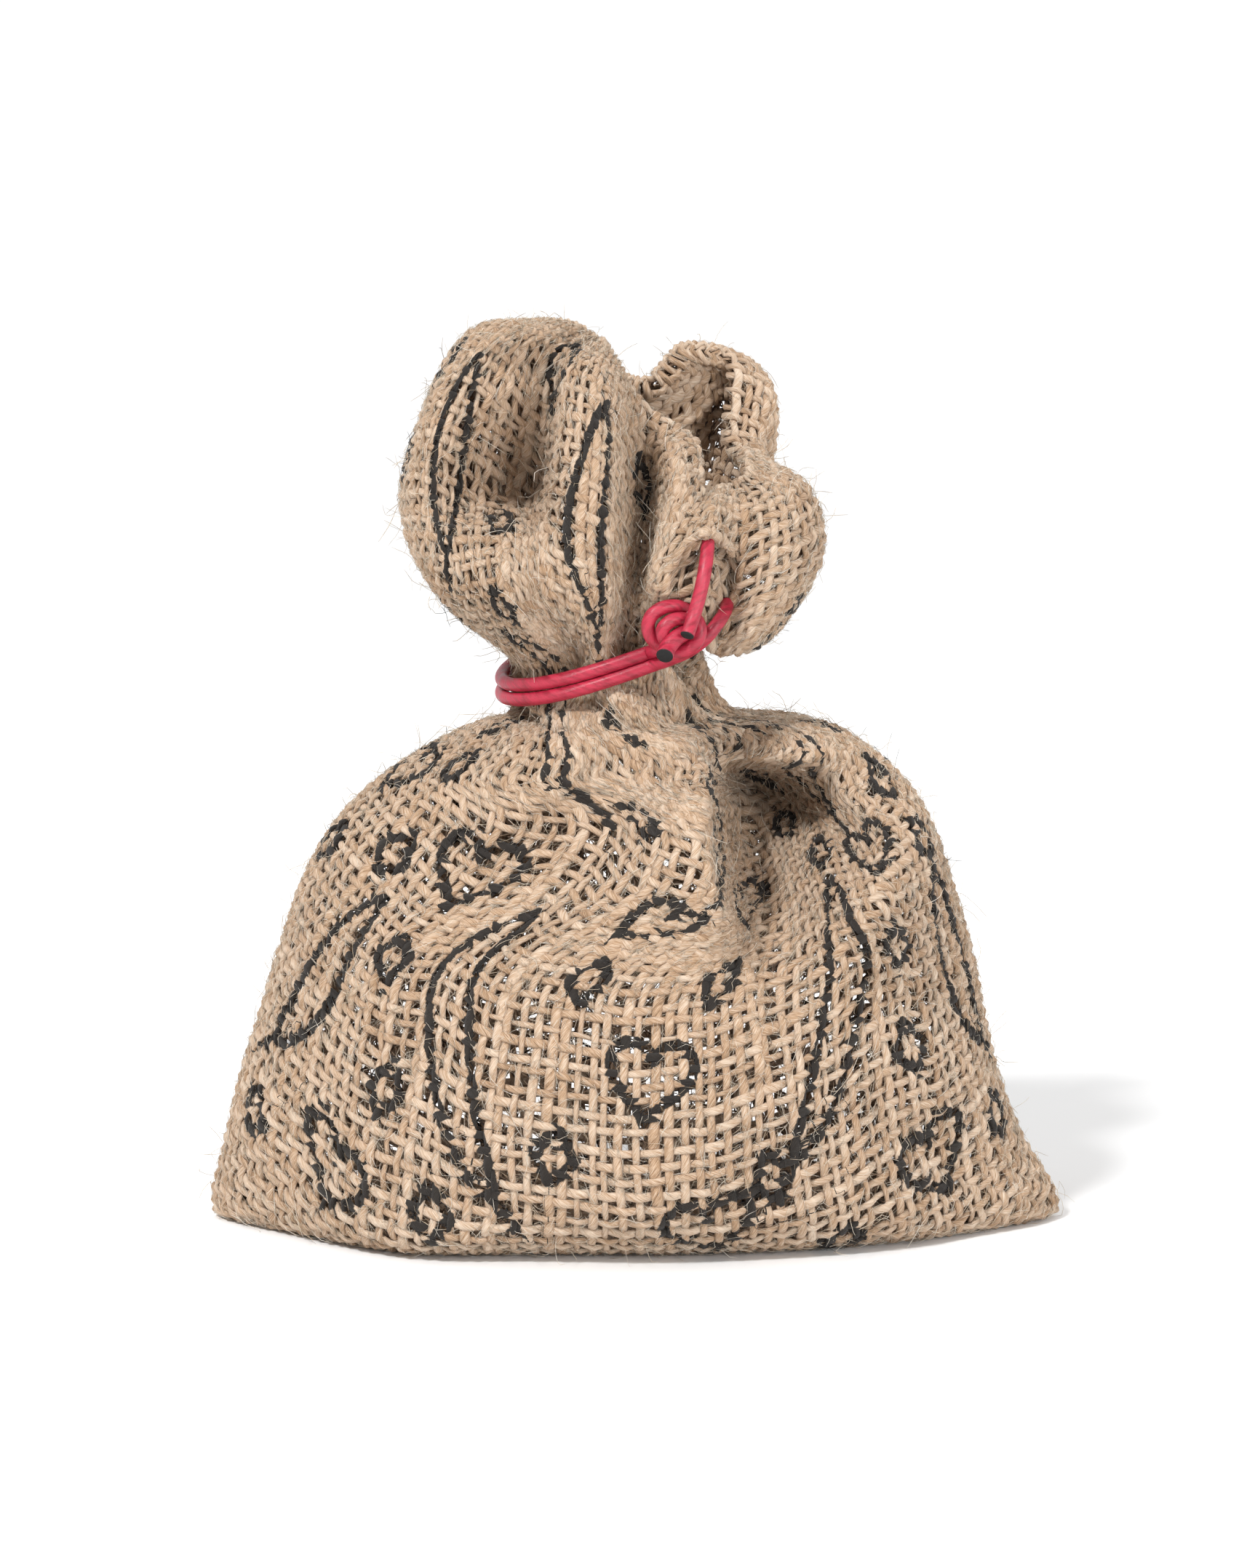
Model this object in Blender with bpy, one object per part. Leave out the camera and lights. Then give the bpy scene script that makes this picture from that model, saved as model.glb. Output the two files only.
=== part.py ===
"""A small hessian drawstring sack, standing filled and tied at the neck.

One length of hessian is folded at the bottom and seamed up both sides, so the cloth is a closed tube round the
sack with a seam line under its base. A waxed cord runs in a casing round the mouth. Its two ends come out of the
casing, are wound together round the neck and are knotted at the front.

The cloth is a hollow shell: an outer and an inner sheet of points, joined round the mouth. Both sheets are lofted
through horizontal sections up to the neck, and through upright folds of the ruffle above it. The shell is parted
under the cord, into the filled part and the ruffle, so that neither solid bends round the hollow at the neck.

Frame: origin on the floor under the middle of the sack, +Z up, the front faces -Y. Lengths below are millimetres.
"""

import math

import bmesh
import bpy
import numpy as np
from mathutils import Vector

MM = 0.001

# Cloth
CLOTH = 1.3  # thickness of one layer of hessian
CASING = 2.0  # thickness of the stitched casing round the mouth
PINCHED = 303.0  # the turn, in degrees, at which the ruffle's tightest fold presses the casing to a single layer
CORNER_SOLID = 5.0  # how far the flat corner ears are solid cloth and seam
COLUMNS = 88  # points round the sack
DENSE = 1440  # angles at which a section is measured before it is divided evenly

# Neck and tie
AXIS_X = -3.3  # the neck's middle
NECK_Z = 89.4
NECK_WIDE = 14.6  # its radius across
NECK_DEEP = 13.2  # and from front to back
NECK_TILT = 0.33  # rise of the tie per unit of x
NECK_BOW = 0.12  # and per unit of y
NECK_RISE = 3.0  # half the height of the narrow part
PLEATS = 9
PLEAT_DEPTH = 5.0
PARTED = 0.002  # how far from the neck the filled part ends and the ruffle starts, in units of the way up the cloth
CORD_RADIUS = 1.15
GAP = 0.35  # clearance between touching solids

# Sections of the filled part, from the floor up: height, and how far the cloth reaches each way.
# pinch is 1 for an ellipse, and more where the side seams draw the section out to points.
SECTION_COLUMNS = ("z", "left", "right", "front", "back", "pinch", "tilt")
SECTIONS = (
    (0.0, 63.5, 65.8, 28.0, 27.0, 1.45, 0.00),
    (1.5, 65.0, 67.6, 32.5, 31.0, 1.40, 0.00),
    (5.0, 65.0, 66.6, 37.0, 34.0, 1.35, 0.00),
    (11.0, 63.2, 62.8, 40.0, 36.0, 1.28, 0.00),
    (20.0, 60.5, 58.8, 40.5, 36.5, 1.20, 0.00),
    (32.0, 57.2, 55.8, 38.5, 35.0, 1.12, 0.00),
    (43.0, 54.9, 53.8, 34.5, 33.0, 1.06, 0.00),
    (53.0, 51.4, 51.3, 31.5, 30.5, 1.00, 0.00),
    (61.5, 46.2, 48.4, 28.5, 27.5, 1.00, 0.00),
    (69.0, 39.0, 43.8, 25.5, 24.5, 1.00, 0.00),
    (75.0, 30.5, 37.4, 22.0, 21.0, 1.00, 0.00),
    (78.2, 24.2, 31.6, 18.6, 17.5, 1.00, 0.00),
    (79.8, 19.4, 16.2, 15.2, 15.0, 1.00, 0.02),
)
FLOOR_SHARES = (0.0, 0.35, 0.7, 0.95)  # rings between the seam and the floor's edge

# Folds of the ruffle above the tie, anticlockwise from +X seen from above. Each runs from the neck to the mouth
# through five places, given as (x, y, z).
FOLD_COLUMNS = ("turn", "low", "belly", "upper", "crown", "mouth")
FOLDS = {
    "right valley": (20, (14, 6, 98), (18, 9, 107), (21, 10, 114), (21.5, 10, 120), (17, 8, 122)),
    "back right lobe": (36, (14, 8, 99), (21, 13, 111), (24, 16, 122), (22, 16, 130), (17, 14, 133)),
    "back right crown": (56, (7, 13, 98), (12, 19, 111), (15, 21, 124), (13, 19, 134), (9, 14, 136)),
    "back right valley": (77, (1, 12, 98), (3, 15, 110), (4, 16, 121), (4, 15, 129), (3, 11, 131)),
    "back lobe": (98, (-6, 17, 97), (-6, 23, 109), (-5, 24, 122), (-4, 20, 131), (-3, 13, 132)),
    "back valley": (118, (-10, 13, 96), (-12, 15, 109), (-11, 15, 121), (-9, 13, 129), (-7, 9, 129)),
    "back left lobe": (140, (-19, 16, 95), (-24, 22, 109), (-23, 20, 124), (-18, 14, 135), (-12, 8, 136)),
    "back left valley": (163, (-24, 6, 94), (-29, 8, 108), (-27, 7, 123), (-21, 6, 134), (-14, 4, 137)),
    "left lobe": (188, (-29, -3, 97), (-35.5, -4, 112), (-31, -5, 127), (-23, -5, 140), (-14, -3, 141)),
    "front left lobe": (208, (-27, -14, 97), (-31, -17, 110), (-29, -15, 126), (-20, -13, 139.5), (-11, -3, 141)),
    "trough side": (227, (-21, -18, 97), (-24, -19, 108), (-21, -12, 121), (-15, -11, 138), (-8, -1, 140)),
    "trough": (243, (-15, -19, 97), (-16, -18, 107), (-13, -6, 118), (-10.5, -8, 135), (-5, 0, 138)),
    "ridge left": (255, (-9, -18, 97), (-12, -19, 108), (-10.5, -19, 121), (-8.5, -15, 135), (-4, -5, 138)),
    "ridge right": (270, (-3, -17, 98), (-3, -19, 109), (-2.5, -20, 121), (-2, -15, 132), (-1, -5, 135)),
    "deep crease": (285, (0.5, -13, 98.5), (1.5, -7, 106), (2, -3, 114), (3, -2, 122), (4, 1, 127)),
    "small ridge": (299, (3, -12.5, 98.5), (4, -12, 107), (5.5, -12.5, 115), (7.5, -9, 122), (11, -2, 122.5)),
    "front bulge": (313, (6, -13, 97.5), (3.6, -19, 99.5), (5.0, -21.5, 105), (9.8, -18, 113), (12.5, -11, 115)),
    "front bulge right": (322, (10, -12, 98), (10, -21, 98.5), (11, -23, 105), (13.5, -18.5, 114), (14.5, -10, 116)),
    "bulge crease": (332, (12, -9, 98), (15, -17.5, 97), (16.5, -18.5, 104.5), (17.5, -15, 113), (16.5, -9, 116)),
    "right lobe front": (342, (14, -7, 98), (20, -14, 95), (24, -17.5, 104), (23, -13.5, 115), (18.5, -8, 117.5)),
    "right lobe": (355, (15, -1, 97.5), (22.5, -3, 93), (30.5, -4, 105), (27, -4, 116.5), (19, -3, 119.5)),
    "right lobe back": (6, (15, 3, 98), (21.5, 4, 94.5), (28, 5, 105), (25, 5, 116.5), (19, 3, 120)),
}

# The cord's two ends lie one above the other round the neck, from one side of the knot to the other: angle, how far
# out from the neck, and how far above or below the tie's middle.
TURN_COLUMNS = ("angle", "out", "apart")
TURNS = (
    (317, 0.9, 1.33),
    (330, 0.1, 1.33),
    (360, 0.0, 1.33),
    (450, 0.0, 1.33),
    (540, 0.0, 1.36),
    (600, 0.0, 1.33),
    (640, 0.0, 1.33),
    (654, 0.5, 1.33),
)

# The knot: a turn of cord facing the front, a strand from the casing hanging down before it, and an end that
# comes out through the turn.
KNOT_X = 6.8
KNOT_Y = -18.3
KNOT_Z = 93.4
KNOT_RADIUS = 3.5
KNOT_TURNS = 1.3
STRAND = ((12.8, -22.6, 108.4), (12.4, -23.4, 105.2), (11.2, -23.6, 101.0), (9.8, -23.7, 96.8), (8.8, -24.9, 93.6))
CUT_END = ((6.9, -17.2, 94.1), (6.6, -20.0, 93.5), (6.0, -22.8, 92.0), (5.4, -24.8, 89.8))

# Long dents and ridges, placed as seen from the front: middle, lean from upright towards +X at the foot, half
# length, half width on either side, and how far the cloth goes in (less than 0 comes out).
# face is -1 for the front and 1 for the back.
DENT_COLUMNS = ("x", "z", "lean", "half_length", "half_left", "half_right", "depth", "face")
BODY_DENTS = {
    "front right valley": (22, 68, 14, 15, 5, 11, 22, -1),
    "foot of the valley": (20, 52, 22, 9, 5, 6, 5, -1),
    "front ridge": (11.5, 64, 9, 21, 8, 3.5, -6.0, -1),
    "front middle valley": (2, 72, -33, 15, 8, 4.5, 6.5, -1),
    "left shoulder crease": (-30, 62, -62, 15, 4, 5, 2.0, -1),
    "left toe": (-33, 2, 90, 14, 6, 6, -5.5, -1),
    "right corner draw": (48, 14, 40, 15, 6, 6, 3.5, -1),
    "left corner draw": (-50, 12, -35, 14, 6, 6, 2.5, -1),
    "back left valley": (-20, 66, -20, 18, 8, 5, 9, 1),
    "back right hollow": (12, 68, 24, 17, 6, 8, 6, 1),
    "back ridge": (-6, 66, -6, 19, 6, 6, -3, 1),
}
HEAD_DENTS = {
    "ledge": (-20, 113.5, 88, 9, 2.2, 8, 7.5, -1),
    "bulge under the ledge": (-20, 105, 86, 10, 7, 4, -3.5, -1),
    "pleat beside the ridge": (-12, 100, 14, 12, 3, 3, 2.5, -1),
    "hem crease on the left": (-17, 135, 80, 8, 2.5, 2.5, 2, -1),
    "hem crease on the right": (18, 115.5, 85, 6, 2, 2.5, 2.5, -1),
    "soft crease on the right": (16, 105, -8, 9, 2.5, 2.5, 2.0, -1),
}


def named(columns, row):
    return dict(zip(columns, row))


def smooth_through(knots, values, at):
    """Values at each place along a smooth curve through the knots, with slopes from each knot's neighbours."""
    steps = np.diff(knots)
    rises = np.diff(values, axis=0) / steps.reshape((-1,) + (1,) * (values.ndim - 1))
    share = (steps[:-1] / (steps[:-1] + steps[1:])).reshape((-1,) + (1,) * (values.ndim - 1))
    slopes = np.concatenate([rises[:1], rises[:-1] * (1 - share) + rises[1:] * share, rises[-1:]])
    k = np.clip(np.searchsorted(knots, at, side="right") - 1, 0, len(steps) - 1)
    width = steps[k].reshape((-1,) + (1,) * (values.ndim - 1))
    t = ((at - knots[k]) / steps[k]).reshape((-1,) + (1,) * (values.ndim - 1))
    start, end = values[k], values[k + 1]
    return (
        start * (1 + 2 * t) * (1 - t) ** 2
        + slopes[k] * width * t * (1 - t) ** 2
        + end * t * t * (3 - 2 * t)
        + slopes[k + 1] * width * t * t * (t - 1)
    )


def smooth_step(value, low, high):
    t = np.clip((value - low) / (high - low), 0, 1)
    return t * t * (3 - 2 * t)


def body_section(section, angle, inset):
    """One closed section of the filled part: an ellipse whose sides are drawn out towards the seams."""
    across, out = np.cos(angle), np.sin(angle)
    sides = inset * (1 + CORNER_SOLID / CLOTH * (1 - smooth_step(section["z"], 2, 16)))
    half_width = np.where(across > 0, section["right"], section["left"]) - sides
    depth = np.where(out > 0, section["back"], section["front"]) - inset
    x = half_width * across
    y = depth * np.sign(out) * np.abs(out) ** section["pinch"]
    z = np.full_like(x, section["z"]) + section["tilt"] * (x - AXIS_X)
    return np.stack([x, y, np.maximum(z, inset)], axis=-1)


def fold_section(place, angle):
    """The ruffle at one place up its folds: a smooth closed curve through all of them."""
    rows = sorted((named(FOLD_COLUMNS, row) for row in FOLDS.values()), key=lambda row: row["turn"])
    turns = np.radians([row["turn"] for row in rows])
    points = np.array([row[place] for row in rows], float)
    knots = np.concatenate([turns[-3:] - 2 * math.pi, turns, turns[:3] + 2 * math.pi])
    return smooth_through(knots, np.concatenate([points[-3:], points, points[:3]]), angle)


def tie_height(x, y):
    return NECK_Z + NECK_TILT * (x - AXIS_X) + NECK_BOW * y


def neck_section(angle, rise, out):
    """The neck at a height above the tie's middle, and how much wider than its narrowest."""
    x = AXIS_X + (NECK_WIDE + out) * np.cos(angle)
    y = (NECK_DEEP + out) * np.sin(angle)
    return np.stack([x, y, tie_height(x, y) + rise], axis=-1)


def station_rings(angle, inset):
    """Closed sections from the bottom seam to the mouth, as (how far up the cloth, the ring)."""
    sections = [named(SECTION_COLUMNS, row) for row in SECTIONS]
    floor = body_section(sections[0], angle, inset)
    rings = [floor * np.array([1, share, 1]) for share in FLOOR_SHARES]
    rings += [body_section(section, angle, inset) for section in sections[1:]]
    rings += [neck_section(angle, rise, 0.3 * abs(rise) / NECK_RISE) for rise in (-NECK_RISE, 0.0, NECK_RISE)]
    rings += [fold_section(place, angle) for place in ("low", "belly", "upper", "crown", "mouth")]
    return np.array(rings)


NECK_STATION = len(FLOOR_SHARES) + len(SECTIONS)


def station_knots(rings):
    """Places of the rings up the cloth, 0 at the seam, 1 at the neck and 2 at the mouth, by mean distance."""
    steps = np.linalg.norm(np.diff(rings, axis=0), axis=-1).mean(axis=1)
    along = np.concatenate([[0], np.cumsum(steps)])
    neck = along[NECK_STATION]
    return np.where(along <= neck, along / neck, 1 + (along - neck) / (along[-1] - neck))


def pleated(points, up, angle):
    """Gathers the cloth at the neck into pleats that fade above and below it."""
    phase = PLEATS * angle + 0.9 * np.sin(2 * angle + 1.0) + 0.7 * np.sin(3 * angle + 4.0)
    valley = (0.5 + 0.5 * np.cos(phase)) ** 1.3
    reach = np.abs(up - 1) / np.where(up < 1, 0.10, 0.16)
    fade = np.exp(-(reach**1.4))
    depth = PLEAT_DEPTH * fade * valley
    away = points[..., :2] - np.array([AXIS_X, 0])
    length = np.maximum(np.linalg.norm(away, axis=-1), 1)
    moved = points.copy()
    moved[..., :2] -= away / length[..., None] * depth[..., None]
    return moved


def dented(points, table, where):
    """Presses long dents and ridges into the front and the back."""
    moved = points.copy()
    x, y, z = points[..., 0], points[..., 1], points[..., 2]
    for row in table.values():
        dent = named(DENT_COLUMNS, row)
        lean = math.radians(dent["lean"])
        dx, dz = x - dent["x"], z - dent["z"]
        along = (dx * math.sin(lean) - dz * math.cos(lean)) / dent["half_length"]
        across = dx * math.cos(lean) + dz * math.sin(lean)
        across = across / np.where(across < 0, dent["half_left"], dent["half_right"])
        facing = smooth_step(y * dent["face"], 0.5, 9.0) * where
        wanted = abs(dent["depth"]) * np.exp(-(along**2) - across**2) * facing
        room = 0.8 * np.abs(y) + 0.01
        push = math.copysign(1, dent["depth"]) * wanted * room / (wanted**4 + room**4) ** 0.25
        moved[..., 1] -= dent["face"] * push
    return moved


def crumpled(points, up, angle):
    """Uneven swellings of soft cloth, half a millimetre or so, none on the floor or at the neck."""
    x, z = points[..., 0], points[..., 2]
    swell = (
        0.28 * np.sin(x / 9.0 + z / 14.0 + 1.0)
        + 0.20 * np.sin(x / 6.1 - z / 8.3 + 2.0)
        + 0.15 * np.sin(3 * angle + z / 5.7)
    ) * smooth_step(z, 3, 12) * smooth_step(np.abs(up - 1), 0.04, 0.12)
    away = points[..., :2] - np.array([AXIS_X, 0])
    length = np.maximum(np.linalg.norm(away, axis=-1), 1)
    moved = points.copy()
    moved[..., :2] += away / length[..., None] * swell[..., None]
    return moved


def sheet(up, inset):
    """The cloth's surface on dense angles at each place up the cloth."""
    angle = np.linspace(0, 2 * math.pi, DENSE + 1)
    rings = station_rings(angle, inset)
    knots = station_knots(station_rings(angle, 0.0))
    points = smooth_through(knots, rings, up)
    points[..., 2] = np.maximum(points[..., 2], inset)
    level, turn = up[:, None] + 0 * angle, angle[None, :] + 0 * up[:, None]
    points = crumpled(points, level, turn)
    points = dented(points, BODY_DENTS, 1 - smooth_step(level, 0.94, 0.99))
    points = dented(points, HEAD_DENTS, smooth_step(level, 1.02, 1.12))
    return pleated(points, level, turn)


def even_columns(points, up):
    """Where to cut each dense ring, so that columns stand evenly along the cloth and follow the ruffle's folds."""
    steps = np.linalg.norm(np.diff(points, axis=1), axis=-1)
    head = steps[up > 1.15].mean(axis=0) * 0.5 + steps[up > 1.15].mean() * 0.5
    in_head = smooth_step(up, 0.8, 1.15)[:, None]
    steps = steps / steps.sum(axis=1, keepdims=True) * (1 - in_head) + head / head.sum() * in_head
    half = DENSE // 2
    count = np.arange(DENSE + 1)
    share = np.linspace(0, 1, COLUMNS // 2 + 1)[:-1]
    cuts = []
    for ring in steps:
        along = np.concatenate([[0], np.cumsum(ring)])
        back = np.interp(along[half] * share, along, count)
        front = np.interp(along[half] + (along[-1] - along[half]) * share, along, count)
        cuts.append(np.concatenate([back, front]))
    return np.array(cuts)


def cut_rings(points, cuts):
    low = np.floor(cuts).astype(int)
    share = (cuts - low)[..., None]
    rows = np.arange(len(points))[:, None]
    return points[rows, low] * (1 - share) + points[rows, np.minimum(low + 1, DENSE)] * share


def outward(points):
    """Unit normals of a grid of rings, pointing out of the sack."""
    around = np.roll(points, -1, axis=1) - np.roll(points, 1, axis=1)
    upward = np.gradient(points, axis=0)
    normal = np.cross(around, upward)
    normal /= np.maximum(np.linalg.norm(normal, axis=-1, keepdims=True), 1e-9)
    for _ in range(4):
        normal = normal * 2 + np.roll(normal, 1, axis=1) + np.roll(normal, -1, axis=1)
        normal /= np.maximum(np.linalg.norm(normal, axis=-1, keepdims=True), 1e-9)
    return normal


def levels():
    """Places up the cloth of the rings of the filled part and of the ruffle: close together at the floor's edge,
    the neck and the mouth."""
    body = [0.0, 0.09, 0.18, 0.235, 0.265, 0.30, 0.36, 0.44, 0.52, 0.60, 0.67, 0.74, 0.80, 0.86, 0.91, 0.945, 0.975]
    head = [1.035, 1.08, 1.14, 1.21, 1.30, 1.40, 1.50, 1.60, 1.70, 1.79, 1.87, 1.94, 2.0]
    return body + [1 - PARTED], [1 + PARTED] + head


def cloth_sheets(up):
    """The outer and the inner sheet, as rings of points."""
    dense = sheet(up, 0.0)
    cuts = even_columns(dense, up)
    outer = cut_rings(dense, cuts)
    low_inner = cut_rings(sheet(up, CLOTH), cuts)
    thick = smooth_step(up, 1.72, 1.84)[:, None] * (1 - np.exp(-(((cuts * 360 / DENSE - PINCHED) / 14) ** 2)))
    wall = (CLOTH + (CASING - CLOTH) * thick)[..., None]
    inward = -outward(outer)
    to_axis = np.array([AXIS_X, 0, 0]) - outer * np.array([1, 1, 0])
    to_axis /= np.linalg.norm(to_axis, axis=-1, keepdims=True)
    at_neck = (1 - smooth_step(np.abs(up - 1), 0.03, 0.12))[:, None, None]
    inward = inward * (1 - at_neck) + to_axis * at_neck * 1.4
    offset_inner = outer + inward * wall
    use_offset = smooth_step(outer[..., 2:], 14, 26)
    inner = low_inner * (1 - use_offset) + offset_inner * use_offset
    return outer, inner


def ring_verts(bm, rings):
    return [[bm.verts.new(Vector(point) * MM) for point in ring] for ring in rings]


def seam_verts(bm, ring, height):
    """The seam line under the base, where the front and the back share their points."""
    seam = [bm.verts.new(Vector((ring[i][0], 0, height)) * MM) for i in range(COLUMNS // 2 + 1)]
    return [seam[min(i, COLUMNS - i)] for i in range(COLUMNS)]


def skin(bm, low, high, turned):
    """Faces between two rings, the other way round if turned."""
    for i in range(COLUMNS):
        j = (i + 1) % COLUMNS
        corners = [low[i], low[j], high[j], high[i]]
        kept = [v for k, v in enumerate(corners) if v not in corners[:k]]
        if len(kept) > 2:
            bm.faces.new(kept[::-1] if turned else kept)


def walls(bm, outside, inside):
    for low, high in zip(outside, outside[1:]):
        skin(bm, low, high, False)
    for low, high in zip(inside, inside[1:]):
        skin(bm, low, high, True)


def finished(bm, name):
    bmesh.ops.triangulate(bm, faces=bm.faces[:])
    mesh = bpy.data.meshes.new(name)
    bm.to_mesh(mesh)
    bm.free()
    return mesh


def sack_mesh(outer, inner):
    """The filled part: both sheets closed along the seam line, and joined at the neck."""
    bm = bmesh.new()
    outside = [seam_verts(bm, outer[0], 0.0)] + ring_verts(bm, outer[1:])
    inside = [seam_verts(bm, inner[0], CLOTH)] + ring_verts(bm, inner[1:])
    walls(bm, outside, inside)
    skin(bm, outside[-1], inside[-1], False)
    return finished(bm, "sack")


def ruffle_mesh(outer, inner):
    """The ruffle: both sheets joined at the neck, and round the mouth by a rounded edge."""
    bm = bmesh.new()
    outside, inside = ring_verts(bm, outer), ring_verts(bm, inner)
    lip = outer[-1] * 0.5 + inner[-1] * 0.5
    past = lip - (outer[-2] * 0.5 + inner[-2] * 0.5)
    past /= np.linalg.norm(past, axis=-1, keepdims=True)
    (edge,) = ring_verts(bm, [lip + past * CASING * 0.42])
    walls(bm, outside, inside)
    skin(bm, outside[0], inside[0], True)
    skin(bm, outside[-1], edge, False)
    skin(bm, inside[-1], edge, True)
    return finished(bm, "ruffle")


def along_path(points, count):
    """Evenly spaced points along a smooth curve through a short list of points."""
    points = np.array(points, float)
    knots = np.concatenate([[0], np.cumsum(np.linalg.norm(np.diff(points, axis=0), axis=1))])
    fine = smooth_through(knots, points, np.linspace(0, knots[-1], 40 * len(points)))
    walked = np.concatenate([[0], np.cumsum(np.linalg.norm(np.diff(fine, axis=0), axis=1))])
    at = np.linspace(0, walked[-1], count)
    return np.stack([np.interp(at, walked, fine[:, k]) for k in range(3)], axis=-1)


def turn_path(side):
    """One turn round the neck, hugging its pleats, above the tie's middle if side is 1 and below it if -1."""
    rows = [named(TURN_COLUMNS, row) for row in TURNS]
    angles = np.radians([row["angle"] for row in rows])
    sizes = np.array([(row["out"], row["apart"]) for row in rows])
    at = np.linspace(angles[0], angles[-1], 200)
    away = smooth_through(angles, sizes, at)
    reach = CORD_RADIUS + GAP + 0.15 + away[:, 0]
    x = AXIS_X + (NECK_WIDE + reach) * np.cos(at)
    y = (NECK_DEEP + reach) * np.sin(at)
    return np.stack([x, y, tie_height(x, y) + side * away[:, 1]], axis=-1)


def knot_path():
    """A turn and a bit, coming forward as it goes round."""
    at = np.linspace(0, KNOT_TURNS * 2 * math.pi, 60)
    x = KNOT_X + KNOT_RADIUS * np.cos(at + 0.6)
    z = KNOT_Z + KNOT_RADIUS * 1.05 * np.sin(at + 0.6)
    return np.stack([x, KNOT_Y - 2.75 * at / (2 * math.pi), z], axis=-1)


def tube(name, path, spacing, sides=10):
    """A round cord along a path, closed by a flat cut at each end."""
    count = max(4, int(np.linalg.norm(np.diff(path, axis=0), axis=1).sum() / spacing))
    points = [Vector(point) * MM for point in along_path(path[:: max(1, len(path) // 200)], count)]
    bm = bmesh.new()
    side = Vector((0.3, 0.2, 1.0))
    rings = []
    for i, point in enumerate(points):
        tangent = (points[min(i + 1, count - 1)] - points[max(i - 1, 0)]).normalized()
        side = (side - tangent * side.dot(tangent)).normalized()
        other = tangent.cross(side)
        ring = []
        for k in range(sides):
            turn = 2 * math.pi * k / sides
            out = side * math.cos(turn) + other * math.sin(turn)
            ring.append(bm.verts.new(point + out * CORD_RADIUS * MM))
        rings.append(ring)
    for low, high in zip(rings, rings[1:]):
        for k in range(sides):
            j = (k + 1) % sides
            bm.faces.new((low[k], low[j], high[j], high[k]))
    bm.faces.new(rings[0][::-1])
    bm.faces.new(rings[-1])
    bmesh.ops.recalc_face_normals(bm, faces=bm.faces[:])
    return finished(bm, name)


def material(name, colour, roughness):
    made = bpy.data.materials.new(name)
    made.use_nodes = True
    shader = made.node_tree.nodes["Principled BSDF"]
    shader.inputs["Base Color"].default_value = (*colour, 1)
    shader.inputs["Roughness"].default_value = roughness
    return made


def clear_scene():
    for obj in list(bpy.data.objects):
        bpy.data.objects.remove(obj, do_unlink=True)


def main():
    clear_scene()
    parts = bpy.data.collections.new("hessian_sack")
    bpy.context.scene.collection.children.link(parts)
    hessian = material("hessian", (0.46, 0.34, 0.22), 0.95)
    cotton = material("waxed cotton cord", (0.55, 0.02, 0.05), 0.35)
    body, head = levels()
    outer, inner = cloth_sheets(np.array(body + head))
    solids = (
        ("sack", sack_mesh(outer[: len(body)], inner[: len(body)]), hessian),
        ("ruffle", ruffle_mesh(outer[len(body) :], inner[len(body) :]), hessian),
        ("upper_turn", tube("upper_turn", turn_path(1), 2.2), cotton),
        ("lower_turn", tube("lower_turn", turn_path(-1), 2.2), cotton),
        ("knot_turn", tube("knot_turn", knot_path(), 1.3), cotton),
        ("strand", tube("strand", np.array(STRAND), 1.3), cotton),
        ("cut_end", tube("cut_end", np.array(CUT_END), 1.3), cotton),
    )
    for name, mesh, look in solids:
        solid = bpy.data.objects.new(name, mesh)
        solid.data.materials.append(look)
        solid.data.shade_smooth()
        parts.objects.link(solid)


main()
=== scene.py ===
"""A small hessian drawstring sack, standing filled out and tied at the neck: its woven cloth, hem, print, loose
fibres and cord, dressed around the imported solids."""

import math

import bpy
import numpy as np
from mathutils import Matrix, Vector


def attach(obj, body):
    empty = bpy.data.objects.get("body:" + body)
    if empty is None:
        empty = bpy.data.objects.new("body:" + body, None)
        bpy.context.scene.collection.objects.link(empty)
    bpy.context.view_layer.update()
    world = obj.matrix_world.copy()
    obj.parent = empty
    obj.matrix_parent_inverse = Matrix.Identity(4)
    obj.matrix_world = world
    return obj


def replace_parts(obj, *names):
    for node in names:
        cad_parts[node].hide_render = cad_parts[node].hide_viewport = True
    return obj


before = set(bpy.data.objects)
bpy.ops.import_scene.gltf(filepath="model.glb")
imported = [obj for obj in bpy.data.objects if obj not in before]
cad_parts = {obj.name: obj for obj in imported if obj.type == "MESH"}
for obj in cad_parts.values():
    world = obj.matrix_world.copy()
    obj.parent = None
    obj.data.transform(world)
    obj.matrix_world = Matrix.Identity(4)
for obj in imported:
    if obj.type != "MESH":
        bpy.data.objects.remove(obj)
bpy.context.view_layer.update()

# ---------------------------------------------------------------------------------------------------------------
# Camera: a long lens a little above the sack's middle, square to the printed front.

TARGET = Vector((0, 0, 0.0685))
DISTANCE = 1.095
ELEVATION = math.radians(8.5)
LENS = 162

camera = bpy.data.objects.new("camera", bpy.data.cameras.new("camera"))
bpy.context.scene.collection.objects.link(camera)
camera.data.lens = LENS
camera.data.sensor_width = 36
camera.data.clip_start = 0.01
towards = Vector((0, -math.cos(ELEVATION), math.sin(ELEVATION)))
camera.location = TARGET + towards * DISTANCE
camera.rotation_euler = (-towards).to_track_quat("-Z", "Y").to_euler()
bpy.context.scene.camera = camera

# ---------------------------------------------------------------------------------------------------------------
# The drape of the cloth. One length of hessian, 150 mm wide, is folded at the bottom and seamed up both sides. The
# filled part is lofted through level sections, and the ruffle above the tie through upright folds.

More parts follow.
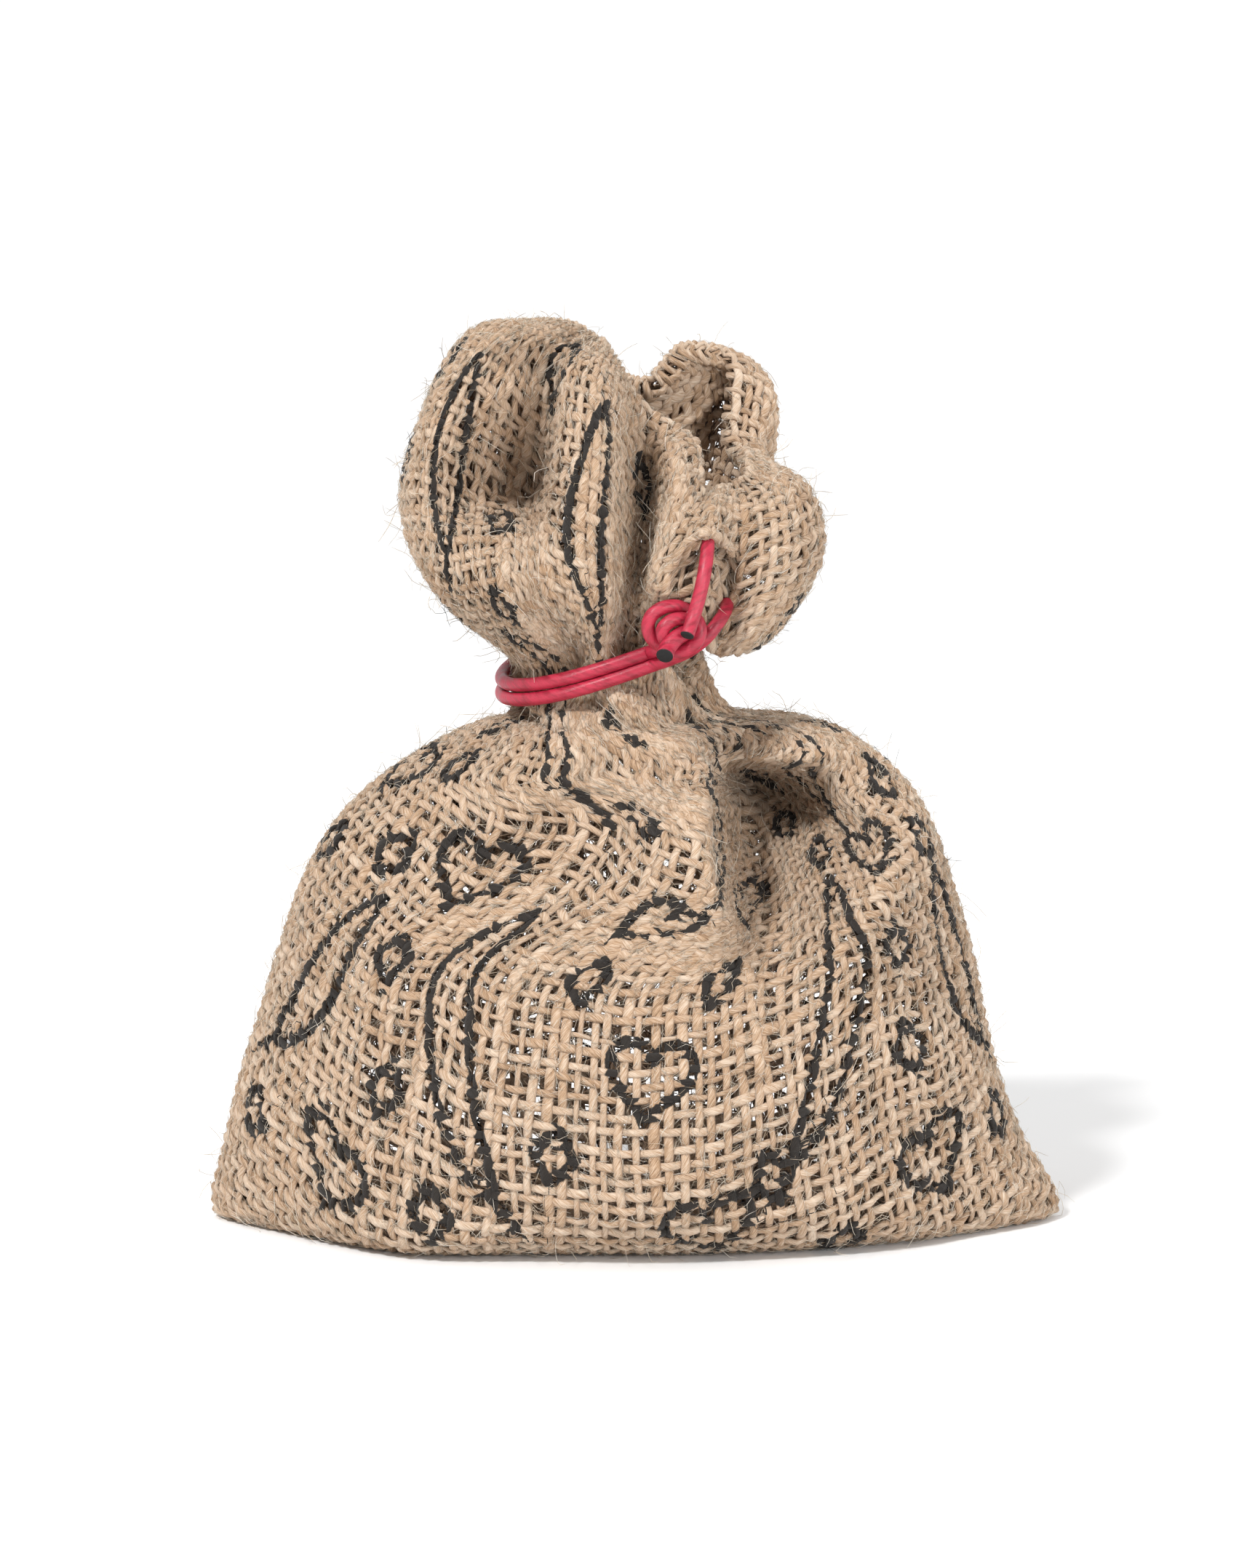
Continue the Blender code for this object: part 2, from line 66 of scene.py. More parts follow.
MM = 0.001  # every size is in millimetres, and becomes metres in the meshes
AXIS_X = -3.3  # the neck's middle
NECK_Z = 89.4  # the tie's height there
NECK_WIDE = 14.6  # half the neck's width
NECK_DEEP = 13.2  # and half its depth
NECK_TILT = 0.33  # rise of the tie per unit of x
NECK_BOW = 0.12  # and per unit of y
NECK_RISE = 3.0  # from the tie to the sections just above and below it
PLEATS = 9
PLEAT_DEPTH = 5.0
PLEAT_REACH = 0.16  # share of the cloth's length in which the pleats fade
PLEAT_SLANT = 2.6  # radians by which they shift just below the tie
DENSE = 1440  # angles at which a section is measured

# Height of each section of the filled part, and how far the cloth reaches each way.
SECTION_COLUMNS = ("z", "left", "right", "front", "back", "pinch", "tilt")
SECTIONS = (
    (0.0, 63.5, 65.8, 28.0, 27.0, 1.45, 0.00),
    (1.5, 65.0, 67.6, 32.5, 31.0, 1.40, 0.00),
    (5.0, 65.0, 66.6, 37.0, 34.0, 1.35, 0.00),
    (11.0, 63.2, 62.8, 40.0, 36.0, 1.28, 0.00),
    (20.0, 60.5, 58.8, 40.5, 36.5, 1.20, 0.00),
    (32.0, 57.2, 55.8, 38.5, 35.0, 1.12, 0.00),
    (43.0, 54.9, 53.8, 34.5, 33.0, 1.06, 0.00),
    (53.0, 51.4, 51.3, 31.5, 30.5, 1.00, 0.00),
    (61.5, 46.2, 48.4, 28.5, 27.5, 1.00, 0.00),
    (69.0, 39.0, 43.8, 25.5, 24.5, 1.00, 0.00),
    (75.0, 30.5, 37.4, 22.0, 21.0, 1.00, 0.00),
    (78.2, 24.2, 31.6, 18.6, 17.5, 1.00, 0.00),
    (79.8, 19.4, 16.2, 15.2, 15.0, 1.00, 0.02),
)
FLOOR_SHARES = (0.0, 0.35, 0.7, 0.95)

# Folds of the ruffle, anticlockwise from +X: each runs from the neck to the mouth through five places.
FOLD_COLUMNS = ("turn", "low", "belly", "upper", "crown", "mouth")
FOLDS = {
    "right valley": (20, (14, 6, 98), (18, 9, 107), (21, 10, 114), (21.5, 10, 120), (17, 8, 122)),
    "back right lobe": (36, (14, 8, 99), (21, 13, 111), (24, 16, 122), (22, 16, 130), (17, 14, 133)),
    "back right crown": (56, (7, 13, 98), (12, 19, 111), (15, 21, 124), (13, 19, 134), (9, 14, 136)),
    "back right valley": (77, (1, 12, 98), (3, 15, 110), (4, 16, 121), (4, 15, 129), (3, 11, 131)),
    "back lobe": (98, (-6, 17, 97), (-6, 23, 109), (-5, 24, 122), (-4, 20, 131), (-3, 13, 132)),
    "back valley": (118, (-10, 13, 96), (-12, 15, 109), (-11, 15, 121), (-9, 13, 129), (-7, 9, 129)),
    "back left lobe": (140, (-19, 16, 95), (-24, 22, 109), (-23, 20, 124), (-18, 14, 135), (-12, 8, 136)),
    "back left valley": (163, (-24, 6, 94), (-29, 8, 108), (-27, 7, 123), (-21, 6, 134), (-14, 4, 137)),
    "left lobe": (188, (-29, -3, 97), (-35.5, -4, 112), (-31, -5, 127), (-23, -5, 140), (-14, -3, 141)),
    "front left lobe": (208, (-27, -14, 97), (-31, -17, 110), (-29, -15, 126), (-20, -13, 139.5), (-11, -3, 141)),
    "trough side": (227, (-21, -18, 97), (-24, -19, 108), (-21, -12, 121), (-15, -11, 138), (-8, -1, 140)),
    "trough": (243, (-15, -19, 97), (-16, -18, 107), (-13, -6, 118), (-10.5, -8, 135), (-5, 0, 138)),
    "ridge left": (255, (-9, -18, 97), (-12, -19, 108), (-10.5, -19, 121), (-8.5, -15, 135), (-4, -5, 138)),
    "ridge right": (270, (-3, -17, 98), (-3, -19, 109), (-2.5, -20, 121), (-2, -15, 132), (-1, -5, 135)),
    "deep crease": (285, (0.5, -13, 98.5), (1.5, -7, 106), (2, -3, 114), (3, -2, 122), (4, 1, 127)),
    "small ridge": (299, (3, -12.5, 98.5), (4, -12, 107), (5.5, -12.5, 115), (7.5, -9, 122), (11, -2, 122.5)),
    "front bulge": (313, (6, -13, 97.5), (3.6, -19, 99.5), (5.0, -21.5, 105), (9.8, -18, 113), (12.5, -11, 115)),
    "front bulge right": (322, (10, -12, 98), (10, -21, 98.5), (11, -23, 105), (13.5, -18.5, 114), (14.5, -10, 116)),
    "bulge crease": (332, (11.5, -9, 95), (12.5, -13, 90.8), (16.5, -17.5, 104), (17.5, -15, 113), (16.5, -9, 116)),
    "right lobe front": (
        342, (13.5, -7, 96.5), (16.5, -13, 90.3), (24, -17.5, 103), (23, -13.5, 115), (18.5, -8, 117.5)
    ),
    "right lobe": (355, (15, -1, 97), (21.5, -4, 91.5), (30.5, -4, 104.5), (27, -4, 116.5), (19, -3, 119.5)),
    "right lobe back": (6, (15, 3, 98), (21.5, 4, 94.5), (28, 5, 105), (25, 5, 116.5), (19, 3, 120)),
}

# Long dents and ridges as seen from the front: middle, lean from upright, half length, half width on either side,
# how far the cloth goes in, and the face it is on, -1 for the front and 1 for the back.
DENT_COLUMNS = ("x", "z", "lean", "half_length", "half_left", "half_right", "depth", "face")
BODY_DENTS = {
    "front right valley": (18.5, 68, 14, 15, 5, 12, 22, -1),
    "foot of the valley": (20, 52, 22, 9, 5, 6, 5, -1),
    "front ridge": (8, 64, 9, 21, 7, 3.5, -6.0, -1),
    "front middle valley": (2, 72, -33, 15, 8, 4.5, 6.5, -1),
    "left shoulder crease": (-30, 62, -62, 15, 4, 5, 2.0, -1),
    "left toe": (-33, 2, 90, 14, 6, 6, -5.5, -1),
    "right corner draw": (48, 14, 40, 15, 6, 6, 3.5, -1),
    "left corner draw": (-50, 12, -35, 14, 6, 6, 2.5, -1),
    "back left valley": (-20, 66, -20, 18, 8, 5, 9, 1),
    "back right hollow": (12, 68, 24, 17, 6, 8, 6, 1),
    "back ridge": (-6, 66, -6, 19, 6, 6, -3, 1),
    "pocket beside the ridge": (18.5, 60.5, 14, 10, 3.6, 7.5, 14, -1),
    "upper corner of the pocket": (24, 66, 68, 9, 4.5, 4, 14, -1),
    "roll over the pocket": (26, 74.5, 102, 14, 3.0, 3.4, -8, -1),
    "cheek beside the pocket": (38, 56, -34, 14, 4.5, 9, -8.5, -1),
    "cone under the tie": (3, 81, 90, 12, 4, 5, -4.5, -1),
    "sweep to the left": (-12, 72, -52, 14, 4, 3, -2.2, -1),
    "hollow under the sweep": (-19, 60, -58, 13, 3.5, 4, 2.0, -1),
}
HEAD_DENTS = {
    "ledge": (-20, 113.5, 88, 9, 2.2, 8, 7.5, -1),
    "bulge under the ledge": (-20, 105, 86, 10, 7, 4, -3.5, -1),
    "pleat beside the ridge": (-12, 100, 14, 12, 3, 3, 2.5, -1),
    "hem crease on the left": (-17, 135, 80, 8, 2.5, 2.5, 2, -1),
    "hem crease on the right": (18, 115.5, 85, 6, 2, 2.5, 2.5, -1),
    "soft crease on the right": (16, 105, -8, 9, 2.5, 2.5, 2.0, -1),
    "pit beside the ridge": (-14.5, 117, 10, 8, 5.5, 2.2, 4, -1),
    "crease under the finger": (8, 113.5, 70, 5, 2, 2, 2.5, -1),
}


def named(columns, row):
    """A row of a table by the names of its columns."""
    return dict(zip(columns, row))


def smooth_through(knots, values, at):
    """Hermite cubics through the knots; each slope is the mean of the slopes on either side, weighted by spacing."""
    steps = np.diff(knots)
    rises = np.diff(values, axis=0) / steps.reshape((-1,) + (1,) * (values.ndim - 1))
    share = (steps[:-1] / (steps[:-1] + steps[1:])).reshape((-1,) + (1,) * (values.ndim - 1))
    slopes = np.concatenate([rises[:1], rises[:-1] * (1 - share) + rises[1:] * share, rises[-1:]])
    k = np.clip(np.searchsorted(knots, at, side="right") - 1, 0, len(steps) - 1)
    width = steps[k].reshape((-1,) + (1,) * (values.ndim - 1))
    t = ((at - knots[k]) / steps[k]).reshape((-1,) + (1,) * (values.ndim - 1))
    start, end = values[k], values[k + 1]
    return (
        start * (1 + 2 * t) * (1 - t) ** 2
        + slopes[k] * width * t * (1 - t) ** 2
        + end * t * t * (3 - 2 * t)
        + slopes[k + 1] * width * t * t * (t - 1)
    )


def smooth_step(value, low, high):
    """0 below low and 1 above high, with 3t² - 2t³ between them."""
    t = np.clip((value - low) / (high - low), 0, 1)
    return t * t * (3 - 2 * t)


def body_section(section, angle):
    """x is the half width times the cosine, and y the half depth times the sine to the power of the pinch."""
    across, out = np.cos(angle), np.sin(angle)
    x = np.where(across > 0, section["right"], section["left"]) * across
    y = np.where(out > 0, section["back"], section["front"]) * np.sign(out) * np.abs(out) ** section["pinch"]
    return np.stack([x, y, section["z"] + section["tilt"] * (x - AXIS_X)], axis=-1)


def fold_section(place, angle):
    """A closed smooth curve through the same place of every fold."""
    rows = sorted((named(FOLD_COLUMNS, row) for row in FOLDS.values()), key=lambda row: row["turn"])
    turns = np.radians([row["turn"] for row in rows])
    points = np.array([row[place] for row in rows], float)
    knots = np.concatenate([turns[-3:] - 2 * math.pi, turns, turns[:3] + 2 * math.pi])
    return smooth_through(knots, np.concatenate([points[-3:], points, points[:3]]), angle)


def tie_height(x, y):
    """The tie's plane: its middle height, plus a tilt in x and a bow in y."""
    return NECK_Z + NECK_TILT * (x - AXIS_X) + NECK_BOW * y


def neck_section(angle, rise):
    """An ellipse on the tie's plane, a little wider above and below its middle."""
    out = 0.3 * abs(rise) / NECK_RISE
    x = AXIS_X + (NECK_WIDE + out) * np.cos(angle)
    y = (NECK_DEEP + out) * np.sin(angle)
    return np.stack([x, y, tie_height(x, y) + rise], axis=-1)


def pushed_out(points, reach):
    """Moves points away from the neck's upright axis by their reach."""
    away = points[..., :2] - np.array([AXIS_X, 0])
    length = np.maximum(np.linalg.norm(away, axis=-1), 1)
    moved = points.copy()
    moved[..., :2] += away / length[..., None] * reach[..., None]
    return moved


def pleated(points, up, angle):
    """Points move towards the neck's axis by a cosine of the turn, fading with distance from the neck.
    Just below the tie the turn shifts, so the pleats slant."""
    phase = PLEATS * angle + 0.9 * np.sin(2 * angle + 1.0) + 0.7 * np.sin(3 * angle + 4.0)
    phase = phase - PLEAT_SLANT * smooth_step(1 - up, 0.0, 0.06)
    valley = (0.5 + 0.5 * np.cos(phase)) ** 1.3
    fade = np.exp(-((np.abs(up - 1) / PLEAT_REACH) ** 1.4))
    return pushed_out(points, -(PLEAT_DEPTH * fade * valley))


def dented(points, table, where):
    """Each dent moves y by a stretched Gaussian of x and z: inwards no further than the room in front of the axis
    allows, outwards by all of its depth."""
    moved = points.copy()
    x, y, z = points[..., 0], points[..., 1], points[..., 2]
    for row in table.values():
        dent = named(DENT_COLUMNS, row)
        lean = math.radians(dent["lean"])
        dx, dz = x - dent["x"], z - dent["z"]
        along = (dx * math.sin(lean) - dz * math.cos(lean)) / dent["half_length"]
        across = dx * math.cos(lean) + dz * math.sin(lean)
        across = across / np.where(across < 0, dent["half_left"], dent["half_right"])
        facing = smooth_step(y * dent["face"], 0.5, 9.0) * where
        wanted = abs(dent["depth"]) * np.exp(-(along**2) - across**2) * facing
        room = 0.8 * np.abs(y) + 0.01
        push = wanted * room / (wanted**4 + room**4) ** 0.25 if dent["depth"] > 0 else -wanted
        moved[..., 1] -= dent["face"] * push
    return moved


CREST_LINE = ((46, 15.5), (53, 11), (58, 8.6), (65, 7.8), (70, 8.2), (76, 9.5), (84, 10))  # height and x
CREST_WIDE = 3.6
CREST_ROLL = 3.4  # how far it leans over the valley


def rolled(points):
    """The crest beside the front valley rolls over it: points near the crest's line move right by a Gaussian of
    their distance from it, times how far they stand in front of the valley's floor."""
    x, y, z = points[..., 0], points[..., 1], points[..., 2]
    crest = np.interp(z, *zip(*CREST_LINE))
    near = np.exp(-(((x - crest) / CREST_WIDE) ** 2)) * smooth_step(-y, 15, 24)
    moved = points.copy()
    moved[..., 0] += CREST_ROLL * near * smooth_step(z, 44, 54) * (1 - smooth_step(z, 74, 82))
    return moved


ARCH_X = 11.6  # the middle of the casing's opening
ARCH_TOP = 109.2
ARCH_HALF = 5.4  # half its width at the feet
ARCH_DROP = 5.5  # from the top to the feet
ARCH_STEP = 3.4  # how far the cloth under it steps in
ARCH_EDGE = 1.3  # how far its edge stands proud


def opened(points):
    """The casing's opening at the front: below a parabola's arch the cloth steps in and eases out again downwards,
    and the arch's edge stands a little proud."""
    x, y, z = points[..., 0], points[..., 1], points[..., 2]
    aside = (x - ARCH_X) / ARCH_HALF
    below = ARCH_TOP - ARCH_DROP * aside**2 - z
    width = smooth_step(1 - np.abs(aside), 0, 0.35) * smooth_step(-y, 11, 14)
    step = ARCH_STEP * smooth_step(below, -0.3, 0.9) * np.exp(-((np.maximum(below, 0) / 7.5) ** 2))
    edge = ARCH_EDGE * np.exp(-(((below + 1.3) / 1.3) ** 2))
    moved = points.copy()
    moved[..., 1] += (step - edge) * width
    return moved


def crumpled(points, up, angle):
    """Swells the cloth outwards by a sum of three sines, a millimetre or less, none on the floor or at the neck."""
    x, z = points[..., 0], points[..., 2]
    swell = (
        0.45 * np.sin(x / 9.0 + z / 14.0 + 1.0)
        + 0.35 * np.sin(x / 6.1 - z / 8.3 + 2.0)
        + 0.30 * np.sin(3 * angle + z / 5.7)
    ) * smooth_step(z, 3, 12) * smooth_step(np.abs(up - 1), 0.04, 0.12)
    return pushed_out(points, swell)


def drape(up):
    """The cloth's outer face on dense angles, at places from 0 at the seam, by 1 at the neck, to 2 at the mouth."""
    angle = np.linspace(0, 2 * math.pi, DENSE + 1)
    sections = [named(SECTION_COLUMNS, row) for row in SECTIONS]
    floor = body_section(sections[0], angle)
    rings = [floor * np.array([1, share, 1]) for share in FLOOR_SHARES]
    rings += [body_section(section, angle) for section in sections[1:]]
    rings += [neck_section(angle, rise) for rise in (-NECK_RISE, 0.0, NECK_RISE)]
    rings += [fold_section(place, angle) for place in FOLD_COLUMNS[1:]]
    rings = np.array(rings)
    steps = np.linalg.norm(np.diff(rings, axis=0), axis=-1).mean(axis=1)
    along = np.concatenate([[0], np.cumsum(steps)])
    neck = along[len(FLOOR_SHARES) + len(SECTIONS)]
    knots = np.where(along <= neck, along / neck, 1 + (along - neck) / (along[-1] - neck))
    points = smooth_through(knots, rings, up)
    points[..., 2] = np.maximum(points[..., 2], 0)
    level, turn = up[:, None] + 0 * angle, angle[None, :] + 0 * up[:, None]
    points = crumpled(points, level, turn)
    points = dented(points, BODY_DENTS, 1 - smooth_step(level, 0.94, 0.99))
    points = rolled(points)
    points = dented(points, HEAD_DENTS, smooth_step(level, 1.02, 1.12))
    points = np.where((level > 1.05)[..., None], opened(points), points)
    return pleated(points, level, turn)


# ---------------------------------------------------------------------------------------------------------------
# The threads of the cloth: undyed jute yarn, spun from coarse fibre and woven one over, one under, 11 to the inch.
# Each warp yarn runs from the bottom fold up to the mouth, over its edge and down inside the hem. Each weft yarn
# crosses one panel, from side seam to side seam.

FRONT_WARPS = 66  # and as many at the back
WARPS = 2 * FRONT_WARPS
WEFTS = 88  # from the bottom fold to the mouth
PITCH = 150.0 / FRONT_WARPS  # millimetres of flat cloth from thread to thread
HEM_ROWS = 7  # rows turned in at the mouth
HEM_GAP = 2.1  # from the outer layer of the hem to the inner one
YARN_WIDE = 1.30
YARN_THICK = 0.84
CRIMP = 0.42  # how far a yarn swings in and out of the cloth's middle
MIDDLE = 0.62  # the cloth's middle, inside its outer face
YARN_SIDES = 7


def cloth_grid():
    """The cloth's middle at every half thread: columns share each half ring evenly, rows each column's length."""
    up = np.concatenate([np.linspace(0, 1, 220)[:-1], np.linspace(1, 2, 200)])
    points = drape(up)
    steps = np.linalg.norm(np.diff(points, axis=1), axis=-1)
    head = steps[up > 1.15].mean(axis=0) * 0.5 + steps[up > 1.15].mean() * 0.5
    in_head = smooth_step(up, 0.8, 1.15)[:, None]
    steps = steps / steps.sum(axis=1, keepdims=True) * (1 - in_head) + head / head.sum() * in_head
    half = DENSE // 2
    share = np.linspace(0, 1, WARPS + 1)[:-1]
    columns = []
    for ring, step in zip(points, steps):
        along = np.concatenate([[0], np.cumsum(step)])
        at = np.concatenate([along[half] * share, along[half] + (along[-1] - along[half]) * share])
        place = np.interp(at, along, np.arange(DENSE + 1))
        low = np.floor(place).astype(int)
        part = (place - low)[:, None]
        columns.append(ring[low] * (1 - part) + ring[np.minimum(low + 1, DENSE)] * part)
    columns = np.array(columns)
    steps_up = np.linalg.norm(np.diff(columns, axis=0), axis=-1)
    walked = np.concatenate([np.zeros((1, 2 * WARPS)), np.cumsum(steps_up, axis=0)])
    rows = np.linspace(0, 1, 2 * WEFTS + 1)
    grid = np.empty((len(rows), 2 * WARPS, 3))
    for c in range(2 * WARPS):
        for k in range(3):
            grid[:, c, k] = np.interp(rows * walked[-1, c], walked[:, c], columns[:, c, k])
    return grid


def unit(vectors):
    """The same vectors at length one."""
    return vectors / np.maximum(np.linalg.norm(vectors, axis=-1, keepdims=True), 1e-9)


def outward(points):
    """Unit normals: the cross product of the steps round and up, smoothed along the rings."""
    around = np.roll(points, -1, axis=1) - np.roll(points, 1, axis=1)
    upward = np.gradient(points, axis=0)
    normal = unit(np.cross(around, upward))
    for _ in range(3):
        normal = unit(normal * 2 + np.roll(normal, 1, axis=1) + np.roll(normal, -1, axis=1))
    return normal


outer = cloth_grid()
normals = outward(outer)
normals[0] = (0, 0, -1)
outer -= normals * MIDDLE
inner = outer[::-1][1 : 2 * HEM_ROWS + 1] - normals[::-1][1 : 2 * HEM_ROWS + 1] * HEM_GAP
past = outer[-1] - outer[-3]
past /= np.linalg.norm(past, axis=-1, keepdims=True)
rim = outer[-1] - normals[-1] * HEM_GAP / 2 + past * HEM_GAP / 2
cloth = np.concatenate([outer, rim[None], inner])
cloth_normals = np.concatenate([normals, past[None], -normals[::-1][1 : 2 * HEM_ROWS + 1]])
LAST_ROW = len(cloth) - 1


def on_grid(values, across, up):
    """Values of the grid between its points, by shares of the four corners; across is in threads round the sack."""
    column, row = np.mod(across * 2, 2 * WARPS), np.clip(up * 2, 0, LAST_ROW)
    c, r = np.floor(column).astype(int) % (2 * WARPS), np.minimum(np.floor(row).astype(int), LAST_ROW - 1)
    s, t = (column - np.floor(column))[..., None], (row - r)[..., None]
    d = (c + 1) % (2 * WARPS)
    low = values[r, c] * (1 - s) + values[r, d] * s
    high = values[r + 1, c] * (1 - s) + values[r + 1, d] * s
    return low * (1 - t) + high * t


def tubes(centres, normal, wide, thick, sides):
    """Closed tubes along rows of centres: each ring is an ellipse, wide across the cloth and thick along its normal.
    Returns the points, the faces, and at each point the cosine and sine of its place round the tube."""
    count, length = centres.shape[:2]
    tangent = unit(np.gradient(centres, axis=1))
    normal = unit(normal - tangent * (normal * tangent).sum(-1, keepdims=True))
    side = np.cross(tangent, normal)
    turn = np.arange(sides) * 2 * math.pi / sides
    across, out = np.cos(turn)[:, None], np.sin(turn)[:, None]
    wide = np.broadcast_to(wide, (count, length))[..., None, None]
    thick = np.broadcast_to(thick, (count, length))[..., None, None]
    rings = centres[:, :, None] + side[:, :, None] * across * wide / 2 + normal[:, :, None] * out * thick / 2
    index = np.arange(count * length * sides).reshape(count, length, sides)
    low, high = index[:, :-1], index[:, 1:]
    quads = np.stack([low, high, np.roll(high, -1, axis=2), np.roll(low, -1, axis=2)], axis=-1).reshape(-1, 4)
    caps = np.concatenate([index[:, 0], index[:, -1, ::-1]])
    place = np.broadcast_to(np.stack([across[:, 0], out[:, 0]], axis=-1), rings.shape[:3] + (2,))
    return rings.reshape(-1, 3), (quads, caps), place.reshape(-1, 2)


def piece(name, points, faces, attributes, finish, slot):
    """An object of smooth faces, given as arrays of corners, with numbers or vectors kept at each of its points."""
    mesh = bpy.data.meshes.new(name)
    corners = np.concatenate([group.ravel() for group in faces]).astype(np.int32)
    sizes = np.concatenate([np.full(len(group), group.shape[1]) for group in faces])
    mesh.vertices.add(len(points))
    mesh.vertices.foreach_set("co", (points * MM).astype(np.float32).ravel())
    mesh.loops.add(len(corners))
    mesh.loops.foreach_set("vertex_index", corners)
    mesh.polygons.add(len(sizes))
    mesh.polygons.foreach_set("loop_start", (np.cumsum(sizes) - sizes).astype(np.int32))
    mesh.update(calc_edges=True)
    mesh.shade_smooth()
    for label, values in attributes.items():
        values = np.asarray(values, np.float32)
        kind, field = ("FLOAT", "value") if values.ndim == 1 else ("FLOAT_VECTOR", "vector")
        mesh.attributes.new(label, kind, "POINT").data.foreach_set(field, values.ravel())
    mesh.materials.append(finish)
    made = bpy.data.objects.new(name, mesh)
    bpy.context.scene.collection.objects.link(made)
    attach(made, "root")
    return made


def wander(random, count, length, reach, step):
    """Smooth random values along rows: random knots a few steps apart, joined by a smooth curve."""
    knots = np.arange(0, length + step, step, dtype=float)
    values = random.normal(0, reach, (len(knots), count))
    return smooth_through(knots, values, np.arange(length, dtype=float)).T


# The print: black line motifs screened on the outside of both panels of the flat cloth: long leaves, hearts and
# small diamonds. Places are from the middle of a panel and up from the bottom fold, and turns are in degrees.

INK_WIDE = 1.65
INK_PULL = 0.08  # share of the way to the middle of its float by which a place is drawn
FAR = 9.0  # the distance kept where no line is near
MARGIN = 4  # how far round a motif distances are measured
LEAF_COLUMNS = ("x", "y", "length", "wide", "lean", "bend")
LEAVES = (
    (-58, 58, 34, 7.0, 20, 0.20),
    (-24, 61, 42, 7.5, -14, -0.20),
    (32, 63, 42, 7.5, 18, 0.20),
    (66, 58, 34, 7.0, -8, -0.16),
    (3, 115, 36, 6.5, 22, 0.14),
    (-36, 118, 34, 7.0, -24, 0.18),
    (54, 114, 34, 7.0, 20, -0.18),
    (-50, 166, 32, 6.5, -6, 0.14),
    (-8, 168, 36, 6.5, 4, -0.12),
    (64, 156, 30, 7.0, 10, 0.16),
    (-4, 14, 36, 7.5, 80, 0.16),
)
HEART_COLUMNS = ("x", "y", "radius", "turn")
HEARTS = (
    (-43, 85, 6.5, -10),
    (4, 60, 6.5, 8),
    (15, 92, 6.5, -10),
    (51, 86, 6.5, 12),
    (-11, 88, 6.0, 14),
    (-68, 92, 6.5, 8),
    (-46, 34, 6.5, 12),
    (12, 36, 6.5, -8),
    (50, 32, 6.5, -14),
    (-62, 134, 6.5, -10),
    (30, 142, 6.5, 12),
    (-26, 190, 6.0, 10),
)
DIAMOND_RADIUS = 3.5
DIAMOND_COLUMNS = ("x", "y", "turn")
DIAMONDS = (
    (-70, 74, 10), (-42, 68, -12), (-38, 50, 14), (-8, 74, -8), (-10, 48, 12), (14, 74, 16), (22, 42, -14),
    (48, 66, 10), (48, 50, -12), (38, 90, 8), (64, 80, -16), (-56, 80, 12), (-54, 98, 16), (-60, 108, 10),
    (-22, 104, 12), (30, 104, -12), (34, 116, 10), (66, 92, 14), (70, 104, -10), (-8, 134, 8), (18, 130, -14),
    (-34, 158, 10), (-66, 166, -12), (-64, 182, 14), (-28, 36, -8), (-64, 30, 12), (32, 26, 10), (66, 30, -12),
    (-50, 14, 8), (50, 12, 10), (10, 188, -10), (44, 134, 12), (-36, 140, -14),
)


def turned(points, x, y, degrees):
    """A motif's own points turned clockwise and moved to its place."""
    t = math.radians(degrees)
    return points @ np.array([[math.cos(t), -math.sin(t)], [math.sin(t), math.cos(t)]]) + np.array([x, y])


def leaf_lines(row):
    """Two arcs that meet at both tips as one outline, bent along a parabola, and a short stem."""
    leaf = named(LEAF_COLUMNS, row)
    t = np.linspace(-1, 1, 17)
    bend = leaf["bend"] * leaf["length"] / 2 * (1 - t * t)
    swell = leaf["wide"] / 2 * (1 - t * t) ** 0.6
    y = t * leaf["length"] / 2
    left, right = np.stack([bend - swell, y], axis=1), np.stack([bend + swell, y], axis=1)
    stem = np.linspace(-1.25, -0.95, 3)
    stalk = np.stack([leaf["bend"] * leaf["length"] / 2 * (1 - stem * stem), stem * leaf["length"] / 2], axis=1)
    lines = [np.concatenate([left, right[::-1][1:]]), stalk]
    return [turned(line, leaf["x"], leaf["y"], leaf["lean"]) for line in lines]


def heart_lines(row):
    """Sine cubed of the turn across, and a sum of four cosines up, from the notch round to the notch."""
    heart = named(HEART_COLUMNS, row)
    t = np.linspace(0, 2 * math.pi, 29)
    x = np.sin(t) ** 3
    y = 0.81 * np.cos(t) - 0.31 * np.cos(2 * t) - 0.13 * np.cos(3 * t) - 0.06 * np.cos(4 * t) + 0.1
    outline = np.stack([x, y], axis=1) * heart["radius"]
    outline[-1] = outline[0]
    return [turned(outline, heart["x"], heart["y"], heart["turn"])]


def diamond_lines(row):
    """A closed square on its corner, a little taller than wide."""
    diamond = named(DIAMOND_COLUMNS, row)
    corners = np.array([(0, 1.15), (0.9, 0), (0, -1.15), (-0.9, 0), (0, 1.15)]) * DIAMOND_RADIUS
    return [turned(corners, diamond["x"], diamond["y"], diamond["turn"])]


motifs = [leaf_lines(row) for row in LEAVES]
motifs += [heart_lines(row) for row in HEARTS]
motifs += [diamond_lines(row) for row in DIAMONDS]


